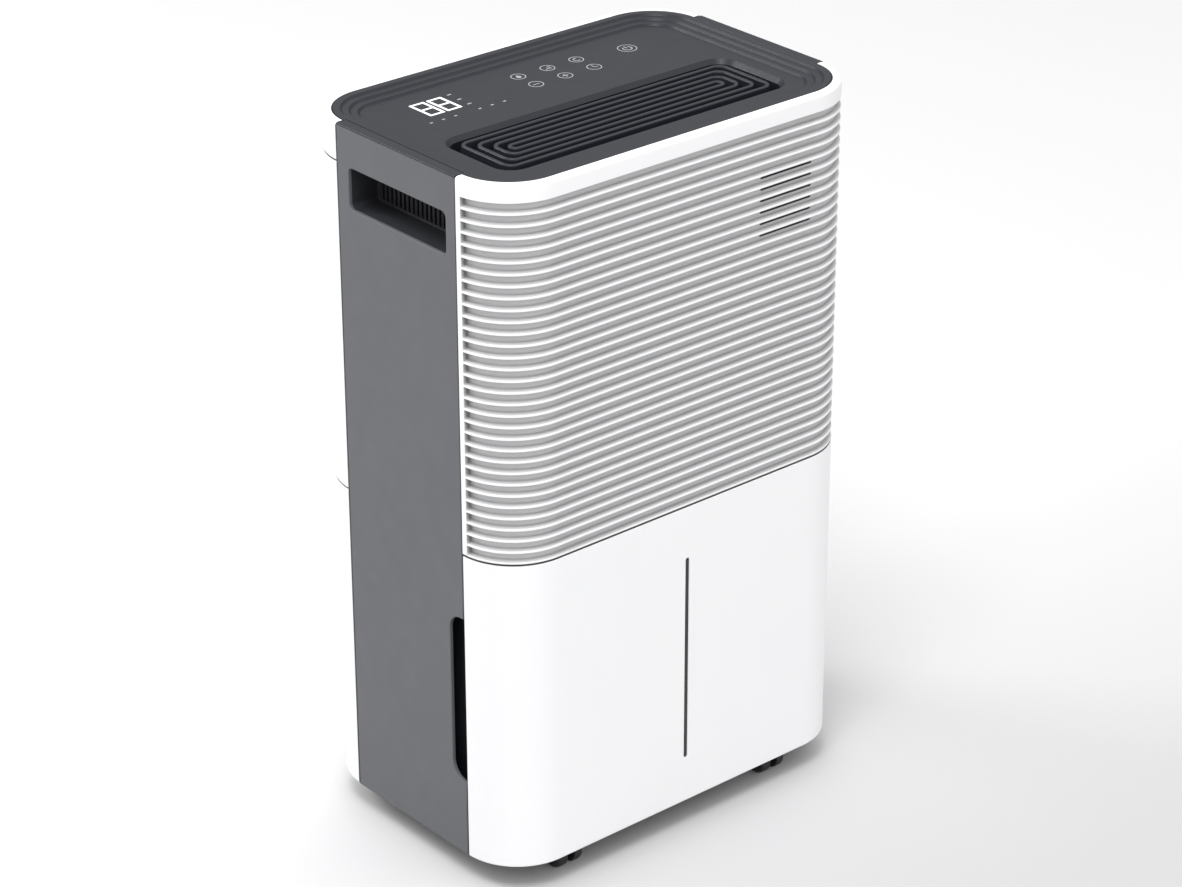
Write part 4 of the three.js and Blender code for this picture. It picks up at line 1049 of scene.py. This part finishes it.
def bucket():
    """The open bucket with a round bottom edge, the ears for its handle and the lugs for its float."""
    low, high = span("tank_bucket")
    wall, rim_z, base = BUCKET["wall"], BUCKET["rim"], BUCKET["base"]
    pivot_y, pivot_z = TANK_PIVOT

    def loop(inset):
        front, rear = BUCKET["front_corner"] - inset, BUCKET["rear_corner"] - inset
        x0, x1, y0, y1 = low.x + inset, high.x - inset, low.y + inset, high.y - inset
        return soften([(x0, y0), (x1, y0), (x1, y1), (x0, y1)], [front, front, rear, rear], 10)

    bend, floor = quarter_round(base, 5), low.z + wall
    outer = [(inset, low.z + rise) for inset, rise in bend]
    rim = [(0, rim_z - 0.6), (0.3, rim_z - 0.1), (0.8, rim_z)]
    rim += [(wall - inset, z) for inset, z in reversed(rim)]
    inner = [(wall + inset, floor + rise) for inset, rise in reversed(bend)]
    shape = Shape().sealed([(x, y, z) for x, y in loop(inset)] for inset, z in outer + rim + inner)
    for side in (-1, 1):
        y0, y1, foot = pivot_y - BUCKET["ear"], pivot_y + BUCKET["ear"], rim_z - 2
        ear = soften([(y0, foot), (y1, foot), (y1, high.z), (y0, high.z)], [0, 0, 7, 7], 8)
        hole = circle(pivot_y, pivot_z, 4.2, 32)
        x = high.x - 0.05 if side > 0 else low.x + 0.05
        shape.join(plate([ear, hole], x - side * (wall - 0.1), x, "x", 0.4, both=True))
    pin = span("float")
    for x in (pin[0].x + 2, pin[1].x - 2):
        y, z = FLOAT_PIVOT
        lug = rounded(y - 6, -2.3, z - 6, z + 6, 2)
        shape.join(plate([lug, circle(y, z, 2.5, 24)], x - 1.2, x + 1.2, "x", 0.3, both=True))
    return shape


def bail():
    """The carrying handle: two limbs on studs, and a bar that is thicker where it is held."""
    low, high = span("tank_handle")
    outer = 138.8
    y0, y1, z0, z1 = low.y, high.y, low.z, high.z
    shape = Shape()
    for side in (-1, 1):
        limb = rounded(y0, y1, z0, z1, 3.9, 8)
        shape.join(plate([limb], side * (outer - 3.2), side * outer, "x", 0.8, both=True))
        stud = soften([(0, outer - 1), (3.7, outer - 1), (3.7, high.x), (0, high.x)], [0, 0, 0.5, 0])
        shape.join(turned([(r, side * level) for r, level in stud], (0, *TANK_PIVOT), "x", 32))
    loops = []
    for x in (-outer + 1, -40, -36, 36, 40, outer - 1):
        fat = 0 if abs(x) > 38 else 0.35
        loop = rounded(y1 - 9 - fat, y1, z0 - fat, z1 + fat, 3.2, 6)
        loops.append([(x, y, z) for y, z in loop])
    return shape.sealed(loops)


def float_block():
    """A foam block that hangs on two arms from its pin."""
    low, high = span("float")
    y, z = FLOAT_PIVOT
    shape = beam((low.x + 4.5, high.x - 4.5), (y - 28, y - 3), (z - 30, z - 14), 2, 3)
    for x in (low.x + 5, high.x - 8):
        shape.join(beam((x, x + 3), (y - 4, y + 2.6), (z - 20, z + 2.6), 1, 1))
    pin = soften([(0, low.x), (2.1, low.x), (2.1, high.x), (0, high.x)], [0, 0.4, 0.4, 0])
    return shape.join(turned(pin, (0, y, z), "x", 24))


piece("water_bucket", bucket(), "tank_plastic", "tank", "tank_bucket")
piece("carrying_bail", bail(), "grey_plastic", "tank_bail", "tank_handle")
piece("foam_float", float_block(), "float_foam", "tank_float", "float")

# ---- frame nodes that stay on show
for row in frame["record"]["subparts"]:
    node = frame["nodes"][row["node"]]
    node.data.materials.clear()
    node.data.materials.append(MATERIALS[row["material_slot"]])


# ---- floor, light and camera
def floor():
    """A plain floor with painted shade: its colour is a little darker in front of the object than behind it.
    """
    mesh = bpy.data.meshes.new("studio_floor")
    half = 9
    corners = [(-half, -half, 0), (half, -half, 0), (half, half, 0), (-half, half, 0)]
    mesh.from_pydata(corners, [], [(0, 1, 2, 3)])
    # painted shade: the floor's colour runs from a darker grey in front of the object to a lighter one behind
    # it
    painted_shade_near, far = linear(190, 190, 191), linear(212, 212, 213)
    pale = Finish("pale_floor", far, 0.8, tone=0.004)
    depth = pale.node("ShaderNodeSeparateXYZ", Vector=pale.place).outputs["Y"]
    pale.link(pale.mix(pale.spread(depth, 0, 1, -0.35, 0.12), painted_shade_near, far), "Base Color")
    mesh.materials.append(pale.relief(pale.noise(300, 2), 0.02).material)
    made = placed("studio_floor", mesh)


def softbox(name, place, size, power, target=(0, 0, 0.26)):
    """A square area light that faces a point of the object."""
    data = bpy.data.lights.new(name, "AREA")
    data.shape = "SQUARE"
    data.size = size
    data.energy = power
    made = placed(name, data)
    made.location = place
    made.rotation_euler = (Vector(target) - Vector(place)).to_track_quat("-Z", "Y").to_euler()


def studio():
    """A white dome that is brightest overhead, and softboxes: high front left, left, in front and behind."""
    world = bpy.data.worlds.new("studio_dome")
    world.use_nodes = True
    nodes, links = world.node_tree.nodes, world.node_tree.links
    background = nodes["Background"]
    background.inputs["Color"].default_value = (1, 1, 1, 1)
    place = nodes.new("ShaderNodeTexCoord")
    parts = nodes.new("ShaderNodeSeparateXYZ")
    rise = nodes.new("ShaderNodeMapRange")
    rise.interpolation_type = "SMOOTHSTEP"
    links.new(place.outputs["Generated"], parts.inputs["Vector"])
    links.new(parts.outputs["Z"], rise.inputs["Value"])
    links.new(rise.outputs["Result"], background.inputs["Strength"])
    for socket, value in (("From Min", 0.3), ("From Max", 0.65), ("To Min", HORIZON), ("To Max", OVERHEAD)):
        rise.inputs[socket].default_value = value
    bpy.context.scene.world = world
    softbox("high_key", (-1.1, -0.8, 2.9), 0.9, KEY_POWER)
    softbox("left_fill", (-2.6, -0.2, 1.5), 1.5, LEFT_POWER)
    softbox("front_fill", (-0.3, -2.6, 0.8), 1.5, FRONT_POWER)
    softbox("rear_rim", (-1.2, 2.0, 1.9), 0.8, RIM_POWER)
    bpy.context.scene.view_settings.view_transform = "Standard"


def photographer():
    """The camera stands front left of the object and looks down on it."""
    azimuth, elevation, roll = math.radians(-40.364), math.radians(26.248), math.radians(-0.165)
    distance, lens = 2.45147, 107.9
    shift_right, shift_up = 0.00363, -0.00872
    level = math.cos(elevation)
    back = Vector((math.sin(azimuth) * level, -math.cos(azimuth) * level, math.sin(elevation)))
    data = bpy.data.cameras.new("photographer")
    data.lens = lens
    data.sensor_width = 36
    made = placed("photographer", data)
    turn = back.to_track_quat("Z", "Y") @ Matrix.Rotation(roll, 4, "Z").to_quaternion()
    aim = Vector((0, 0, (cad_high.z + 0.02) / 2))
    right, up = turn @ Vector((1, 0, 0)), turn @ Vector((0, 1, 0))
    made.location = aim + back * distance + right * shift_right + up * shift_up
    made.rotation_mode = "QUATERNION"
    made.rotation_quaternion = turn
    bpy.context.scene.camera = made


floor()
studio()
photographer()
